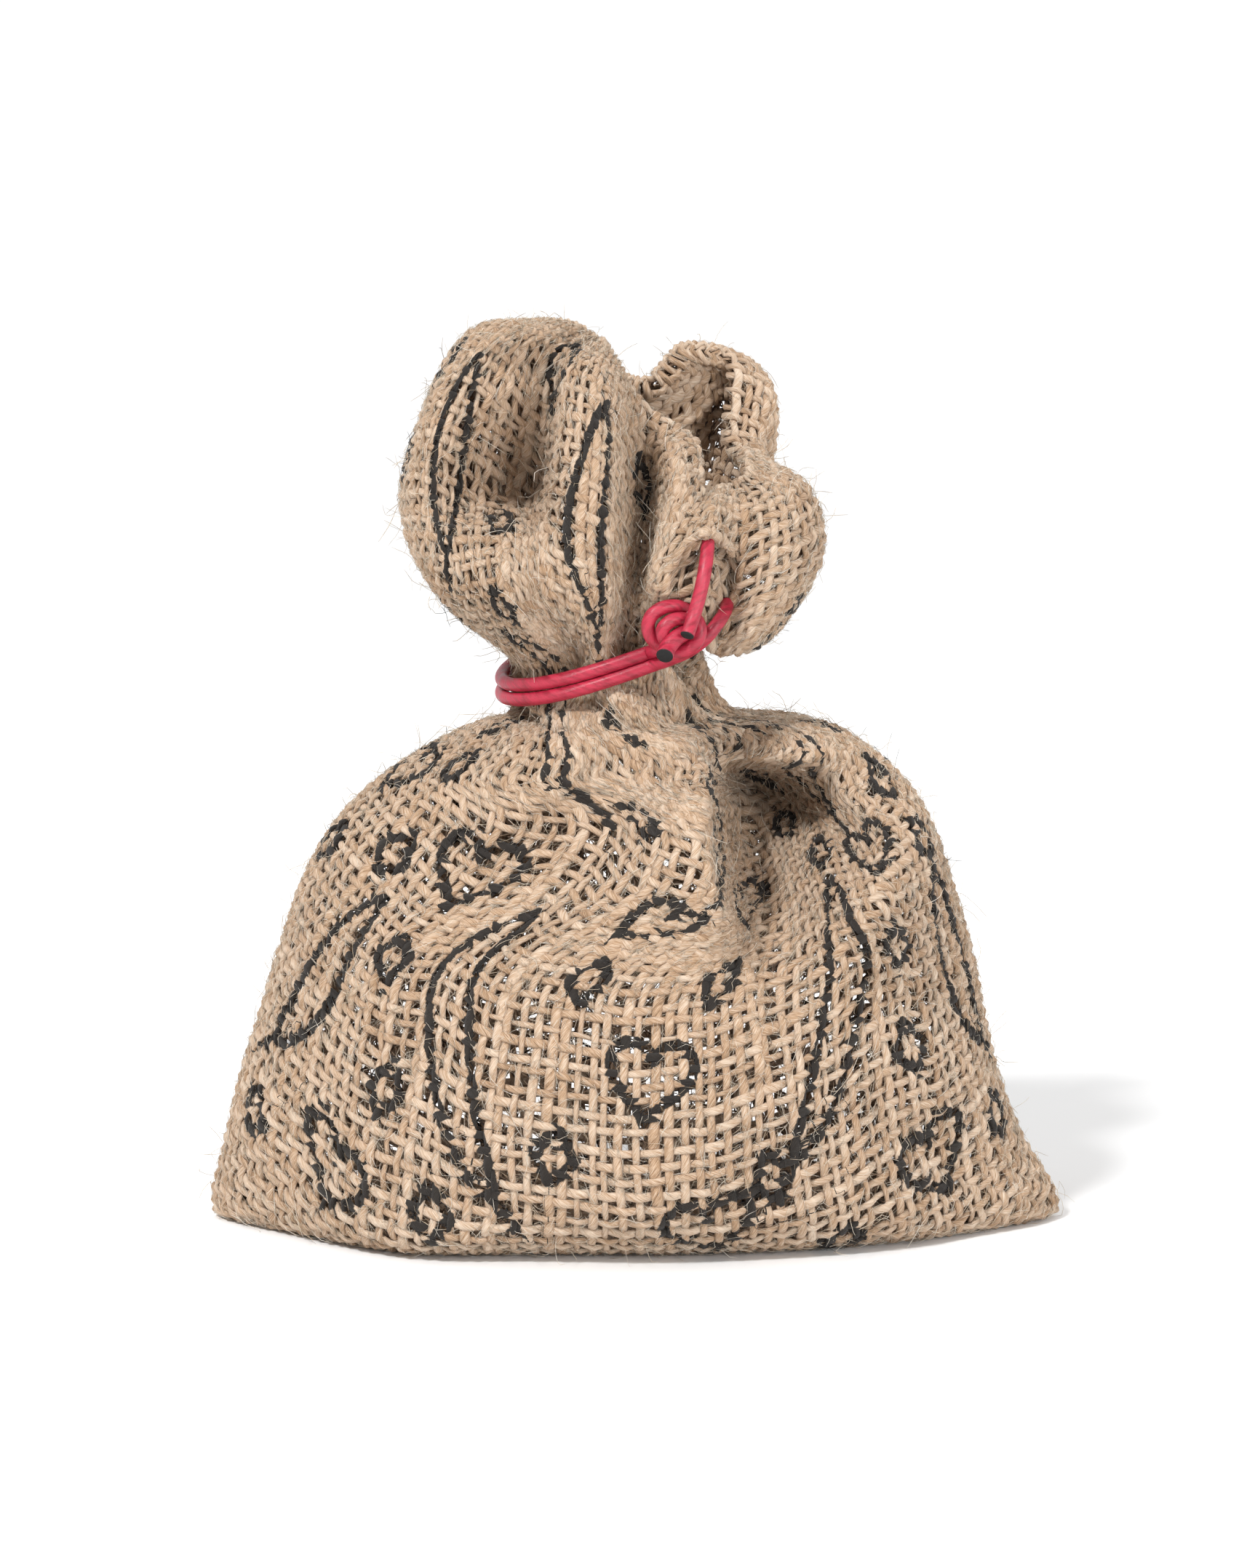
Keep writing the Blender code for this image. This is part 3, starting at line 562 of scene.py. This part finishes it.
def print_sides(across, up):
    """Signed distances on the flat cloth, in millimetres: to the nearest closed outline, less than 0 inside it, and
    across the nearest open stroke, less than 0 on its left. Between two points of a yarn such a number runs evenly
    through 0 at the line, so a thin line stays whole. The place is drawn a little towards the middle of its
    thread's float, since a float takes ink as a whole."""
    across = across * (1 - INK_PULL) + np.round(across) * INK_PULL
    up = up * (1 - INK_PULL) + np.round(up) * INK_PULL
    x = (np.mod(across, FRONT_WARPS) - FRONT_WARPS / 2) * PITCH
    y = up * PITCH
    outline, stroke = np.full(x.shape, FAR), np.full(x.shape, FAR)
    for lines in motifs:
        every = np.concatenate(lines)
        low, high = every.min(axis=0) - MARGIN, every.max(axis=0) + MARGIN
        near = np.flatnonzero((x > low[0]) & (x < high[0]) & (y > low[1]) & (y < high[1]))
        place = np.stack([x[near], y[near]], axis=1)
        for line in lines:
            closed = np.linalg.norm(line[0] - line[-1]) < 1e-6
            best, side, crossings = np.full(len(near), FAR), np.ones(len(near)), np.zeros(len(near))
            for start, end in zip(line[:-1], line[1:]):
                run, off = end - start, place - start
                share = np.clip((off @ run) / (run @ run), 0, 1)
                distance = np.linalg.norm(off - share[:, None] * run, axis=1)
                turn = np.sign(run[0] * off[:, 1] - run[1] * off[:, 0])
                side = np.where(distance < best, np.where(turn == 0, 1, turn), side)
                best = np.minimum(best, distance)
                spans = (start[1] > place[:, 1]) != (end[1] > place[:, 1])
                cut = start[0] + (place[:, 1] - start[1]) * run[0] / (run[1] if abs(run[1]) > 1e-9 else 1e-9)
                crossings += spans & (place[:, 0] < cut)
            kept = outline if closed else stroke
            signed = best * np.where(crossings % 2 == 1, -1, 1) if closed else best * side
            kept[near] = np.where(best < np.abs(kept[near]), signed, kept[near])
    return {"outline": outline, "stroke": stroke}


def colour(hex_code):
    """A linear colour from an sRGB hex value."""
    parts = [int(hex_code[k : k + 2], 16) / 255 for k in (1, 3, 5)]
    return (*(p / 12.92 if p <= 0.04045 else ((p + 0.055) / 1.055) ** 2.4 for p in parts), 1)


def node(tree, kind, inputs=(), **settings):
    """Adds a node. inputs pairs a socket's name or number with a value or with the output that feeds it."""
    made = tree.nodes.new(kind)
    for name, value in settings.items():
        setattr(made, name, value)
    for socket, value in dict(inputs).items():
        if isinstance(value, bpy.types.NodeSocket):
            tree.links.new(value, made.inputs[socket])
        else:
            made.inputs[socket].default_value = value
    return made


def maths(tree, operation, *values):
    """What a sum on up to three values gives, each a number or another node's output."""
    return node(tree, "ShaderNodeMath", dict(enumerate(values)), operation=operation).outputs[0]


def material(name):
    """A new material, with its node tree and its shader."""
    made = bpy.data.materials.new(name)
    made.use_nodes = True
    return made, made.node_tree, made.node_tree.nodes["Principled BSDF"]


# Undyed jute, spun: dull and dry with a silky fibre, pale straw where it is combed and brown where it is coarse.
# The fibres wind round the yarn once in 6 mm. The ink lies on the outside of the floats only, matt, with a ragged
# edge. Loose fibres on top are the same jute, paler because light comes through them; those down in the holes of
# the weave are dark brown, which is painted shade for the dark of the holes between and behind the threads.

STRAW = "#D9C6B1"
JUTE = "#C2A68C"
GOLDEN = "#AA8969"
COARSE = "#775D48"
INK = "#151414"
TWIST = 1.1  # radians a millimetre


def wound_round(tree, twist, pace, shift=0.0):
    """Where a pattern lies on a yarn or cord: a circle turned by twist radians a millimetre, carried along by pace
    times the length and a shift. Returns that place, and the fibre attribute's parts: along, across and outwards."""
    fibre = node(tree, "ShaderNodeAttribute", attribute_name="fibre")
    parts = node(tree, "ShaderNodeSeparateXYZ", {0: fibre.outputs["Vector"]})
    turn = maths(tree, "ARCTAN2", parts.outputs["Z"], parts.outputs["Y"])
    wound = maths(tree, "MULTIPLY_ADD", parts.outputs["X"], twist, turn)
    ahead = maths(tree, "COSINE", wound)
    aside = maths(tree, "SINE", wound)
    along = maths(tree, "MULTIPLY_ADD", parts.outputs["X"], pace, shift)
    helix = node(tree, "ShaderNodeCombineXYZ", {0: along, 1: ahead, 2: aside})
    return helix.outputs[0], parts


def jute_finish(name, stops, fibre_scale, rough):
    """Fine strands and broad patches in the colours of the stops, dark to light, under ink where a line is near."""
    made, tree, shader = material(name)
    tone = node(tree, "ShaderNodeAttribute", attribute_name="tone")
    own_place = maths(tree, "MULTIPLY", tone.outputs["Fac"], 40.0)
    helix, parts = wound_round(tree, TWIST, 0.16, own_place)
    strands = node(
        tree, "ShaderNodeTexNoise", {"Vector": helix, "Scale": fibre_scale, "Detail": 4.0, "Roughness": 0.65}
    )
    patches = node(tree, "ShaderNodeTexNoise", {"Vector": helix, "Scale": 0.9, "Detail": 2.0})
    mixed = maths(tree, "MULTIPLY_ADD", strands.outputs["Fac"], 0.8, tone.outputs["Fac"])
    summed = maths(tree, "MULTIPLY_ADD", patches.outputs["Fac"], 0.3, mixed)
    ramp = node(tree, "ShaderNodeValToRGB", {"Fac": summed})
    while len(ramp.color_ramp.elements) < len(stops):
        ramp.color_ramp.elements.new(0.5)
    for element, (position, shade) in zip(ramp.color_ramp.elements, stops):
        element.position = position
        element.color = colour(shade)
    outline = node(tree, "ShaderNodeAttribute", attribute_name="outline")
    stroke = node(tree, "ShaderNodeAttribute", attribute_name="stroke")
    from_outline = maths(tree, "ABSOLUTE", outline.outputs["Fac"])
    from_stroke = maths(tree, "ABSOLUTE", stroke.outputs["Fac"])
    from_line = maths(tree, "MINIMUM", from_outline, from_stroke)
    place = node(tree, "ShaderNodeTexCoord")
    ragged = node(tree, "ShaderNodeTexNoise", {"Vector": place.outputs["Object"], "Scale": 1700.0, "Detail": 3.0})
    shifted = maths(tree, "MULTIPLY_ADD", ragged.outputs["Fac"], 0.6, from_line)
    inked = node(
        tree,
        "ShaderNodeMapRange",
        {
            "Value": shifted,
            "From Min": INK_WIDE / 2 + 0.23,
            "From Max": INK_WIDE / 2 + 0.38,
            "To Min": 1.0,
            "To Max": 0.0,
        },
    )
    outside = node(tree, "ShaderNodeMapRange", {"Value": parts.outputs["Z"], "From Min": -0.75, "From Max": -0.3})
    cover = maths(tree, "MULTIPLY", inked.outputs[0], outside.outputs[0])
    thin = maths(tree, "MULTIPLY", cover, 0.97)
    printed = node(tree, "ShaderNodeMix", {0: thin, 6: ramp.outputs[0], 7: colour(INK)}, data_type="RGBA")
    bump = node(tree, "ShaderNodeBump", {"Height": strands.outputs["Fac"], "Strength": 0.8, "Distance": 0.00025})
    tree.links.new(printed.outputs[2], shader.inputs["Base Color"])
    tree.links.new(bump.outputs[0], shader.inputs["Normal"])
    shader.inputs["Roughness"].default_value = rough
    shader.inputs["Specular IOR Level"].default_value = 0.3
    shader.inputs["Sheen Weight"].default_value = 0.1
    shader.inputs["Sheen Roughness"].default_value = 0.5
    return made


jute = jute_finish("spun jute yarn", ((0.36, COARSE), (0.46, GOLDEN), (0.56, JUTE), (0.70, STRAW)), 5.5, 0.8)
random = np.random.default_rng(11)
gap_across = np.linalg.norm(np.roll(cloth, -1, axis=1) - np.roll(cloth, 1, axis=1), axis=-1)
shift_warp = random.normal(0, 0.10, WARPS)
shift_weft = random.normal(0, 0.08, WEFTS + HEM_ROWS + 3)
stout_warp = random.normal(1.0, 0.13, WARPS)
stout_weft = random.normal(1.0, 0.13, WEFTS + HEM_ROWS + 3)
tone_warp = random.normal(0.0, 0.035, WARPS)
tone_weft = random.normal(0.0, 0.035, WEFTS + HEM_ROWS + 3)


def yarn_size(slub):
    """Width and thickness of a yarn slub times as stout as usual: its thickness varies half as much."""
    return np.clip(YARN_WIDE * slub, 0.75, 2.1), np.clip(YARN_THICK * (0.5 + 0.5 * slub), 0.7, 1.4)


def at_points(values):
    """The value of each ring at every point of it."""
    return np.repeat(values.ravel(), YARN_SIDES)


def warp_yarns(first, last):
    """Warp yarn i follows thread i up the cloth, its height a cosine of the row, up on even crossings."""
    i = np.arange(first, last)[:, None]
    up = np.arange(0, LAST_ROW + 1)[None, :] / 2
    across = i + shift_warp[first:last, None] + wander(random, last - first, up.shape[1], 0.12, 11)
    up = up + 0 * across
    normal = unit(on_grid(cloth_normals, across, up))
    room = on_grid(gap_across[..., None], across, up)[..., 0]
    over = CRIMP * np.cos(math.pi * up) * np.where(i % 2 == 0, 1, -1)
    centres = on_grid(cloth, across, up) + normal * over[..., None]
    slub = stout_warp[first:last, None] + wander(random, last - first, up.shape[1], 0.13, 6)
    wide, thick = yarn_size(slub)
    wide = wide * np.clip(room / 1.9, 0.55, 1.0)  # squeezed where the pleats crowd it
    points, faces, place = tubes(centres, normal, wide, thick, YARN_SIDES)
    points[:, 2] = np.maximum(points[:, 2], 0)
    along = at_points(up * PITCH)
    fibre = np.stack([along, place[:, 0], place[:, 1]], axis=1)
    half = at_points(wide) / 2
    flat_across = at_points(across) + place[:, 0] * half / np.maximum(at_points(room), 0.5)
    tone = at_points(np.repeat(tone_warp[first:last], up.shape[1]))
    return points, faces, {"fibre": fibre, "tone": tone, **print_sides(flat_across, along / PITCH)}


def weft_yarns(first, last):
    """Weft yarn j crosses one panel along row j, its height a cosine of the thread, down where the warp is up."""
    rows = np.arange(1, WEFTS + HEM_ROWS + 1)
    j = rows[:, None]
    across = np.arange(2 * first, 2 * last + 1)[None, :] / 2
    up = j + shift_weft[rows, None] + wander(random, len(rows), across.shape[1], 0.11, 11)
    across = across + 0 * up
    normal = unit(on_grid(cloth_normals, across, up))
    over = -CRIMP * np.cos(math.pi * across) * np.where(j % 2 == 0, 1, -1)
    centres = on_grid(cloth, across, up) + normal * over[..., None]
    slub = stout_weft[rows, None] + wander(random, len(rows), across.shape[1], 0.13, 6)
    wide, thick = yarn_size(slub)
    points, faces, place = tubes(centres, normal, wide, thick, YARN_SIDES)
    points[:, 2] = np.maximum(points[:, 2], 0)
    along = at_points(across * PITCH)
    fibre = np.stack([along, place[:, 0], place[:, 1]], axis=1)
    flat_up = at_points(up) + place[:, 0] * at_points(wide) / 2 / PITCH
    tone = at_points(np.repeat(tone_weft[rows], across.shape[1]))
    return points, faces, {"fibre": fibre, "tone": tone, **print_sides(along / PITCH, flat_up)}


warp_front = piece("warp_front", *warp_yarns(FRONT_WARPS, WARPS), jute, "hessian")
warp_back = piece("warp_back", *warp_yarns(0, FRONT_WARPS), jute, "hessian")
weft_front = piece("weft_front", *weft_yarns(FRONT_WARPS, WARPS), jute, "hessian")
weft_back = piece("weft_back", *weft_yarns(0, FRONT_WARPS), jute, "hessian")
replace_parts(warp_front, "sack", "ruffle")

# ---------------------------------------------------------------------------------------------------------------
# Loose fibre: jute is hairy. Ends of fibre that were never bound into the yarns lie over the weave and across its
# holes, and some stand off the cloth in curls.

fibre_finish = jute_finish("loose jute fibre", ((0.34, "#A38A6C"), (0.50, "#D2C0A6"), (0.66, "#EFE6D8")), 2.0, 0.55)
# The fibres in the holes of the weave get dark browns: painted shade, standing in for the dark of the holes.
shaded_fibre_finish = jute_finish("jute fibre with painted shade", ((0.34, "#4E3B2D"), (0.50, "#6B5442"), (0.66, "#8F765E")), 2.0, 0.75)
FIBRE_SIDES = 3


def fibres(count, first, last, points_each, length, wide, height, seed):
    """Each fibre starts at a random place and runs over the threads with a heading that turns steadily. height gives
    its distance from the cloth's middle at each step along it, from random numbers of its own."""
    random = np.random.default_rng(seed)
    step = np.linspace(0, 1, points_each)[None, :]
    heading = random.uniform(0, 2 * math.pi, (count, 1)) + random.normal(0, 1.3, (count, 1)) * step
    reach = random.uniform(length[0], length[1], (count, 1)) / PITCH / (points_each - 1)
    across = random.uniform(first, last, (count, 1)) + np.cumsum(np.cos(heading) * reach, axis=1)
    up = random.uniform(0.5, WEFTS + 0.8, (count, 1)) + np.cumsum(np.sin(heading) * reach, axis=1)
    up = np.abs(up)
    normal = unit(on_grid(cloth_normals, across, up))
    centres = on_grid(cloth, across, up) + normal * height(random, count, step)[..., None]
    centres[..., 2] = np.maximum(centres[..., 2], 0.1)
    wide = wide * random.uniform(0.6, 1.3, (count, 1)) * np.array([0.8] + [1.0] * (points_each - 2) + [0.5])
    aside = unit(np.cross(np.gradient(centres, axis=1), normal) + 1e-6)
    points, faces, place = tubes(centres, np.cross(aside, np.gradient(centres, axis=1)), wide, wide, FIBRE_SIDES)
    along = np.repeat((random.uniform(0, 400, (count, 1)) + step * 3).ravel(), FIBRE_SIDES)
    fibre = np.stack([along, place[:, 0], np.ones(len(along))], axis=1)  # the outside, which takes ink, all round
    tone = np.repeat(random.normal(0, 0.09, count), points_each * FIBRE_SIDES)
    above = np.repeat(random.random(count) < 0.25, points_each * FIBRE_SIDES)  # over the ink, so clean
    inked = print_sides(np.repeat(across.ravel(), FIBRE_SIDES), np.repeat(up.ravel(), FIBRE_SIDES))
    inked = {side: np.where(above, FAR, values) for side, values in inked.items()}
    return points, faces, {"fibre": fibre, "tone": tone, **inked}


def wave(levels, swings):
    """The height of fibres that lie in the cloth: a low sine wave about a level, each fibre with its own."""

    def height(random, count, step):
        level, swing = random.uniform(*levels, (count, 1)), random.uniform(*swings, (count, 1))
        waves, start = random.uniform(0.5, 1.2, (count, 1)), random.random((count, 1))
        return level + swing * np.sin(math.pi * 2 * (step * waves + start))

    return height


inside = wave((-0.55, 0.1), (0.05, 0.3))  # below the cloth's middle, in the holes of the weave
lying = wave((0.1, 0.85), (0.05, 0.4))  # from the cloth's middle to the tops of its floats


def standing(random, count, step):
    """From inside the cloth out to a height that few fibres take past 2 mm, as a power of the step, with a curl."""
    tall = np.minimum(random.exponential(1.1, (count, 1)) + 0.5, 4.5)
    curl = random.normal(0, 0.25, (count, 1))
    return 0.2 + tall * step ** random.uniform(0.6, 1.6, (count, 1)) + curl * np.sin(math.pi * 2.5 * step)


# Each row: the piece, its finish, how many fibres, the first and last thread, the points of each, the least and most
# length, the width, and the height.
FIBRES = (
    ("fibre_front_inside", shaded_fibre_finish, 14000, FRONT_WARPS, WARPS, 3, (2.5, 5.5), 0.22, inside),
    ("fibre_front_lying", fibre_finish, 14000, FRONT_WARPS, WARPS, 3, (1.5, 4.0), 0.085, lying),
    ("fibre_front_over", fibre_finish, 14000, FRONT_WARPS, WARPS, 3, (1.2, 3.2), 0.08, lying),
    ("fibre_back_inside", shaded_fibre_finish, 14000, 0, FRONT_WARPS, 3, (2.5, 5.5), 0.38, inside),
    ("fibre_back_lying", fibre_finish, 14000, 0, FRONT_WARPS, 3, (1.5, 4.0), 0.085, lying),
    ("fibre_standing", fibre_finish, 4800, 0, WARPS, 7, (2.0, 7.0), 0.075, standing),
)
loose = [
    piece(name, *fibres(*numbers, 21 + k), finish, "hessian") for k, (name, finish, *numbers) in enumerate(FIBRES)
]

# ---------------------------------------------------------------------------------------------------------------
# The drawstring: waxed cotton cord, about 2.1 mm thick. It runs in the casing, comes out through an arched opening at
# the front, goes twice round the neck and is knotted. Its ends are cut and sealed black.

CORD_RADIUS = 1.06
CORD_SIDES = 22
END_RADIUS = 1.3  # the seal spreads the cut end a little
# A turn's place in degrees round the neck, how far it stands off the pleats, and how far from the tie's middle.
TURN_COLUMNS = ("angle", "out", "apart")
TURNS = (
    (317, 0.9, 1.12),
    (330, 0.1, 1.12),
    (360, 0.0, 1.12),
    (450, 0.0, 1.12),
    (540, 0.0, 1.16),
    (600, 0.0, 1.12),
    (640, 0.1, 1.10),
    (652, 0.6, 1.08),
)
STRAND = (
    (12.0, -16.0, 110.4), (12.1, -18.3, 109.2), (12.1, -20.6, 107.5), (11.8, -22.3, 105.2), (11.3, -23.4, 102.6),
    (10.6, -24.0, 99.8), (9.8, -24.7, 97.2), (9.0, -26.1, 95.1),
)
LEFT_LOOP = (
    (9.6, -20.2, 97.8), (7.6, -21.4, 98.9), (5.4, -22.2, 98.8), (3.7, -22.6, 97.7), (3.1, -22.6, 96.0),
    (3.6, -22.2, 94.3), (4.9, -21.4, 93.0), (6.8, -20.2, 92.3),
)
INNER_LOOP = (
    (9.6, -21.6, 96.6), (8.0, -22.8, 97.2), (6.3, -23.6, 96.8), (5.3, -23.8, 95.6), (5.6, -23.4, 94.2),
    (7.0, -22.4, 93.4),
)
CUT_END = (
    (9.4, -21.8, 95.2), (8.2, -23.2, 94.9), (6.9, -24.2, 94.0), (6.0, -25.0, 92.9), (5.6, -26.3, 92.0),
)
RIGHT_LOOP = (
    (9.0, -20.6, 97.8), (10.4, -21.8, 97.0), (11.0, -22.4, 95.4), (10.5, -22.6, 93.8), (9.2, -22.6, 92.6),
    (7.4, -22.2, 91.8), (5.6, -21.4, 91.6),
)
RIGHT_TURN = (
    (6.6, -16.8, 90.3), (9.4, -18.4, 91.8), (11.8, -18.9, 93.7), (13.6, -18.2, 95.8), (14.8, -16.2, 97.4),
    (15.2, -13.6, 98.4),
)
KNOT_ENTRY = (
    (4.4, -16.4, 91.6), (6.6, -18.6, 93.2), (8.4, -20.0, 94.8),
)


def distances(path):
    """How far along a path each of its points is."""
    return np.concatenate([[0], np.cumsum(np.linalg.norm(np.diff(path, axis=0), axis=1))])


def along_path(points, spacing):
    """Evenly spaced points along a smooth curve through a short list of points."""
    points = np.array(points, float)
    knots = distances(points)
    fine = smooth_through(knots, points, np.linspace(0, knots[-1], 40 * len(points)))
    walked = distances(fine)
    at = np.linspace(0, walked[-1], max(6, int(walked[-1] / spacing)))
    return np.stack([np.interp(at, walked, fine[:, k]) for k in range(3)], axis=-1)


def turn_path(side):
    """One turn round the neck, hugging its pleats, above the tie's middle if side is 1 and below it if -1."""
    rows = [named(TURN_COLUMNS, row) for row in TURNS]
    angles = np.radians([row["angle"] for row in rows])
    sizes = np.array([(row["out"], row["apart"]) for row in rows])
    at = np.linspace(angles[0], angles[-1], 200)
    away = smooth_through(angles, sizes, at)
    reach = CORD_RADIUS + 0.5 + away[:, 0]
    x = AXIS_X + (NECK_WIDE + reach) * np.cos(at)
    y = (NECK_DEEP + reach) * np.sin(at)
    return np.stack([x, y, tie_height(x, y) + side * away[:, 1]], axis=-1)


def cord(path, thick):
    """A round cord: at each end the rings narrow to a shallow dome, which the black seal covers."""
    path = along_path(path, 0.45)
    ahead = unit(path[-1] - path[-2])
    behind = unit(path[0] - path[1])
    dome = np.array([(0.12, 0.93), (0.22, 0.72), (0.26, 0.38)])
    path = np.concatenate([path[:1] + behind * dome[::-1, :1], path, path[-1:] + ahead * dome[:, :1]])
    wide = 2 * thick * np.concatenate([dome[::-1, 1], np.ones(len(path) - 6), dome[:, 1]])
    away = path - np.array([AXIS_X, 0, 0])
    away[:, 2] = 0
    points, faces, place = tubes(path[None], unit(away)[None], wide[None], wide[None], CORD_SIDES)
    fibre = np.stack([np.repeat(distances(path), CORD_SIDES), place[:, 0], place[:, 1]], axis=1)
    seal = np.concatenate([[1, 1, 1, 0.6], np.zeros(len(path) - 8), [0.6, 1, 1, 1]])
    return points, faces, {"fibre": fibre, "seal": np.repeat(seal, CORD_SIDES)}


# Waxed cotton: crimson dye under a thin coat of wax, which gives soft highlights along the cord, broken by the fine
# twist of its cover. The ends are sealed with black wax, dull and rough.

CRIMSON = "#B32640"
CRIMSON_DEEP = "#8C162C"
SEAL = "#141313"
COVER_TWIST = 0.7  # radians a millimetre, once round in 9 mm

waxed, tree, shader = material("waxed cotton cord")
helix, _ = wound_round(tree, COVER_TWIST, 0.35)
cover = node(tree, "ShaderNodeTexNoise", {"Vector": helix, "Scale": 6.0, "Detail": 4.0, "Roughness": 0.6})
worn = node(tree, "ShaderNodeTexNoise", {"Vector": helix, "Scale": 1.2, "Detail": 2.0})
share = maths(tree, "MULTIPLY_ADD", cover.outputs["Fac"], 0.6, worn.outputs["Fac"])
dye = node(tree, "ShaderNodeValToRGB", {"Fac": share})
dye.color_ramp.elements[0].position = 0.6
dye.color_ramp.elements[0].color = colour(CRIMSON_DEEP)
dye.color_ramp.elements[1].position = 0.9
dye.color_ramp.elements[1].color = colour(CRIMSON)
seal = node(tree, "ShaderNodeAttribute", attribute_name="seal")
sealed = node(tree, "ShaderNodeMapRange", {"Value": seal.outputs["Fac"], "From Min": 0.35, "From Max": 0.65})
dyed = node(tree, "ShaderNodeMix", {0: sealed.outputs[0], 6: dye.outputs[0], 7: colour(SEAL)}, data_type="RGBA")
gloss = node(
    tree,
    "ShaderNodeMapRange",
    {"Value": worn.outputs["Fac"], "From Min": 0.35, "From Max": 0.65, "To Min": 0.3, "To Max": 0.5},
)
dull = node(tree, "ShaderNodeMix", {0: sealed.outputs[0], 2: gloss.outputs[0], 3: 0.9})
fine = node(tree, "ShaderNodeBump", {"Height": cover.outputs["Fac"], "Strength": 0.5, "Distance": 0.00018})
tree.links.new(dyed.outputs[2], shader.inputs["Base Color"])
tree.links.new(dull.outputs[0], shader.inputs["Roughness"])
tree.links.new(fine.outputs[0], shader.inputs["Normal"])
shader.inputs["Specular IOR Level"].default_value = 0.45
shader.inputs["Coat Weight"].default_value = 0.12
shader.inputs["Coat Roughness"].default_value = 0.25

upper_turn = np.concatenate([turn_path(1), KNOT_ENTRY])
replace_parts(piece("cord_upper_turn", *cord(upper_turn, CORD_RADIUS), waxed, "waxed_cord"), "upper_turn")
lower_turn = np.concatenate([turn_path(-1), RIGHT_TURN])
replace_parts(piece("cord_lower_turn", *cord(lower_turn, CORD_RADIUS), waxed, "waxed_cord"), "lower_turn")
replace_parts(piece("cord_loop", *cord(LEFT_LOOP, CORD_RADIUS), waxed, "waxed_cord"), "knot_turn")
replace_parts(piece("cord_strand", *cord(STRAND, CORD_RADIUS), waxed, "waxed_cord"), "strand")
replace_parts(piece("cord_end", *cord(CUT_END, END_RADIUS), waxed, "waxed_cord"), "cut_end")
piece("cord_loop_inner", *cord(INNER_LOOP, CORD_RADIUS), waxed, "waxed_cord")
piece("cord_loop_right", *cord(RIGHT_LOOP, CORD_RADIUS), waxed, "waxed_cord")

# ---------------------------------------------------------------------------------------------------------------
# Floor and light: a white card table in a white room that is darker in front, with one lamp above the left shoulder
# and a broad, weaker one low on the right.

floor_mesh = bpy.data.meshes.new("floor")
floor_mesh.from_pydata([(-1.5, -1.5, 0), (1.5, -1.5, 0), (1.5, 0.7, 0), (-1.5, 0.7, 0)], [], [(0, 1, 2, 3)])
floor = bpy.data.objects.new("floor", floor_mesh)
bpy.context.scene.collection.objects.link(floor)
card, _, shader = material("white card")
shader.inputs["Base Color"].default_value = colour("#F1F1F1")
shader.inputs["Roughness"].default_value = 0.9
floor_mesh.materials.append(card)

world = bpy.data.worlds.new("studio")
bpy.context.scene.world = world
world.use_nodes = True
room = world.node_tree
way = node(room, "ShaderNodeTexCoord")
sides = node(room, "ShaderNodeSeparateXYZ", {0: way.outputs["Generated"]})
wall = node(
    room,
    "ShaderNodeMapRange",
    {"Value": sides.outputs["Y"], "From Min": -0.35, "From Max": 0.02, "To Min": 0.46, "To Max": 1.03},
)
room.links.new(wall.outputs[0], room.nodes["Background"].inputs["Strength"])
room.nodes["Background"].inputs["Color"].default_value = (1, 1, 1, 1)
bpy.context.scene.view_settings.view_transform = "Standard"


def softbox(name, place, aim, size, power):
    """A round lamp at its place, turned to its aim."""
    lamp = bpy.data.lights.new(name, "AREA")
    lamp.shape = "DISK"
    lamp.size = size
    lamp.energy = power
    made = bpy.data.objects.new(name, lamp)
    bpy.context.scene.collection.objects.link(made)
    made.location = place
    made.rotation_euler = (Vector(place) - Vector(aim)).to_track_quat("Z", "Y").to_euler()


softbox("key", (-1.1, -1.55, 2.1), (0, 0, 0.07), 0.38, 64)
softbox("fill", (1.4, -2.1, 0.72), (0, 0, 0.07), 1.2, 34)
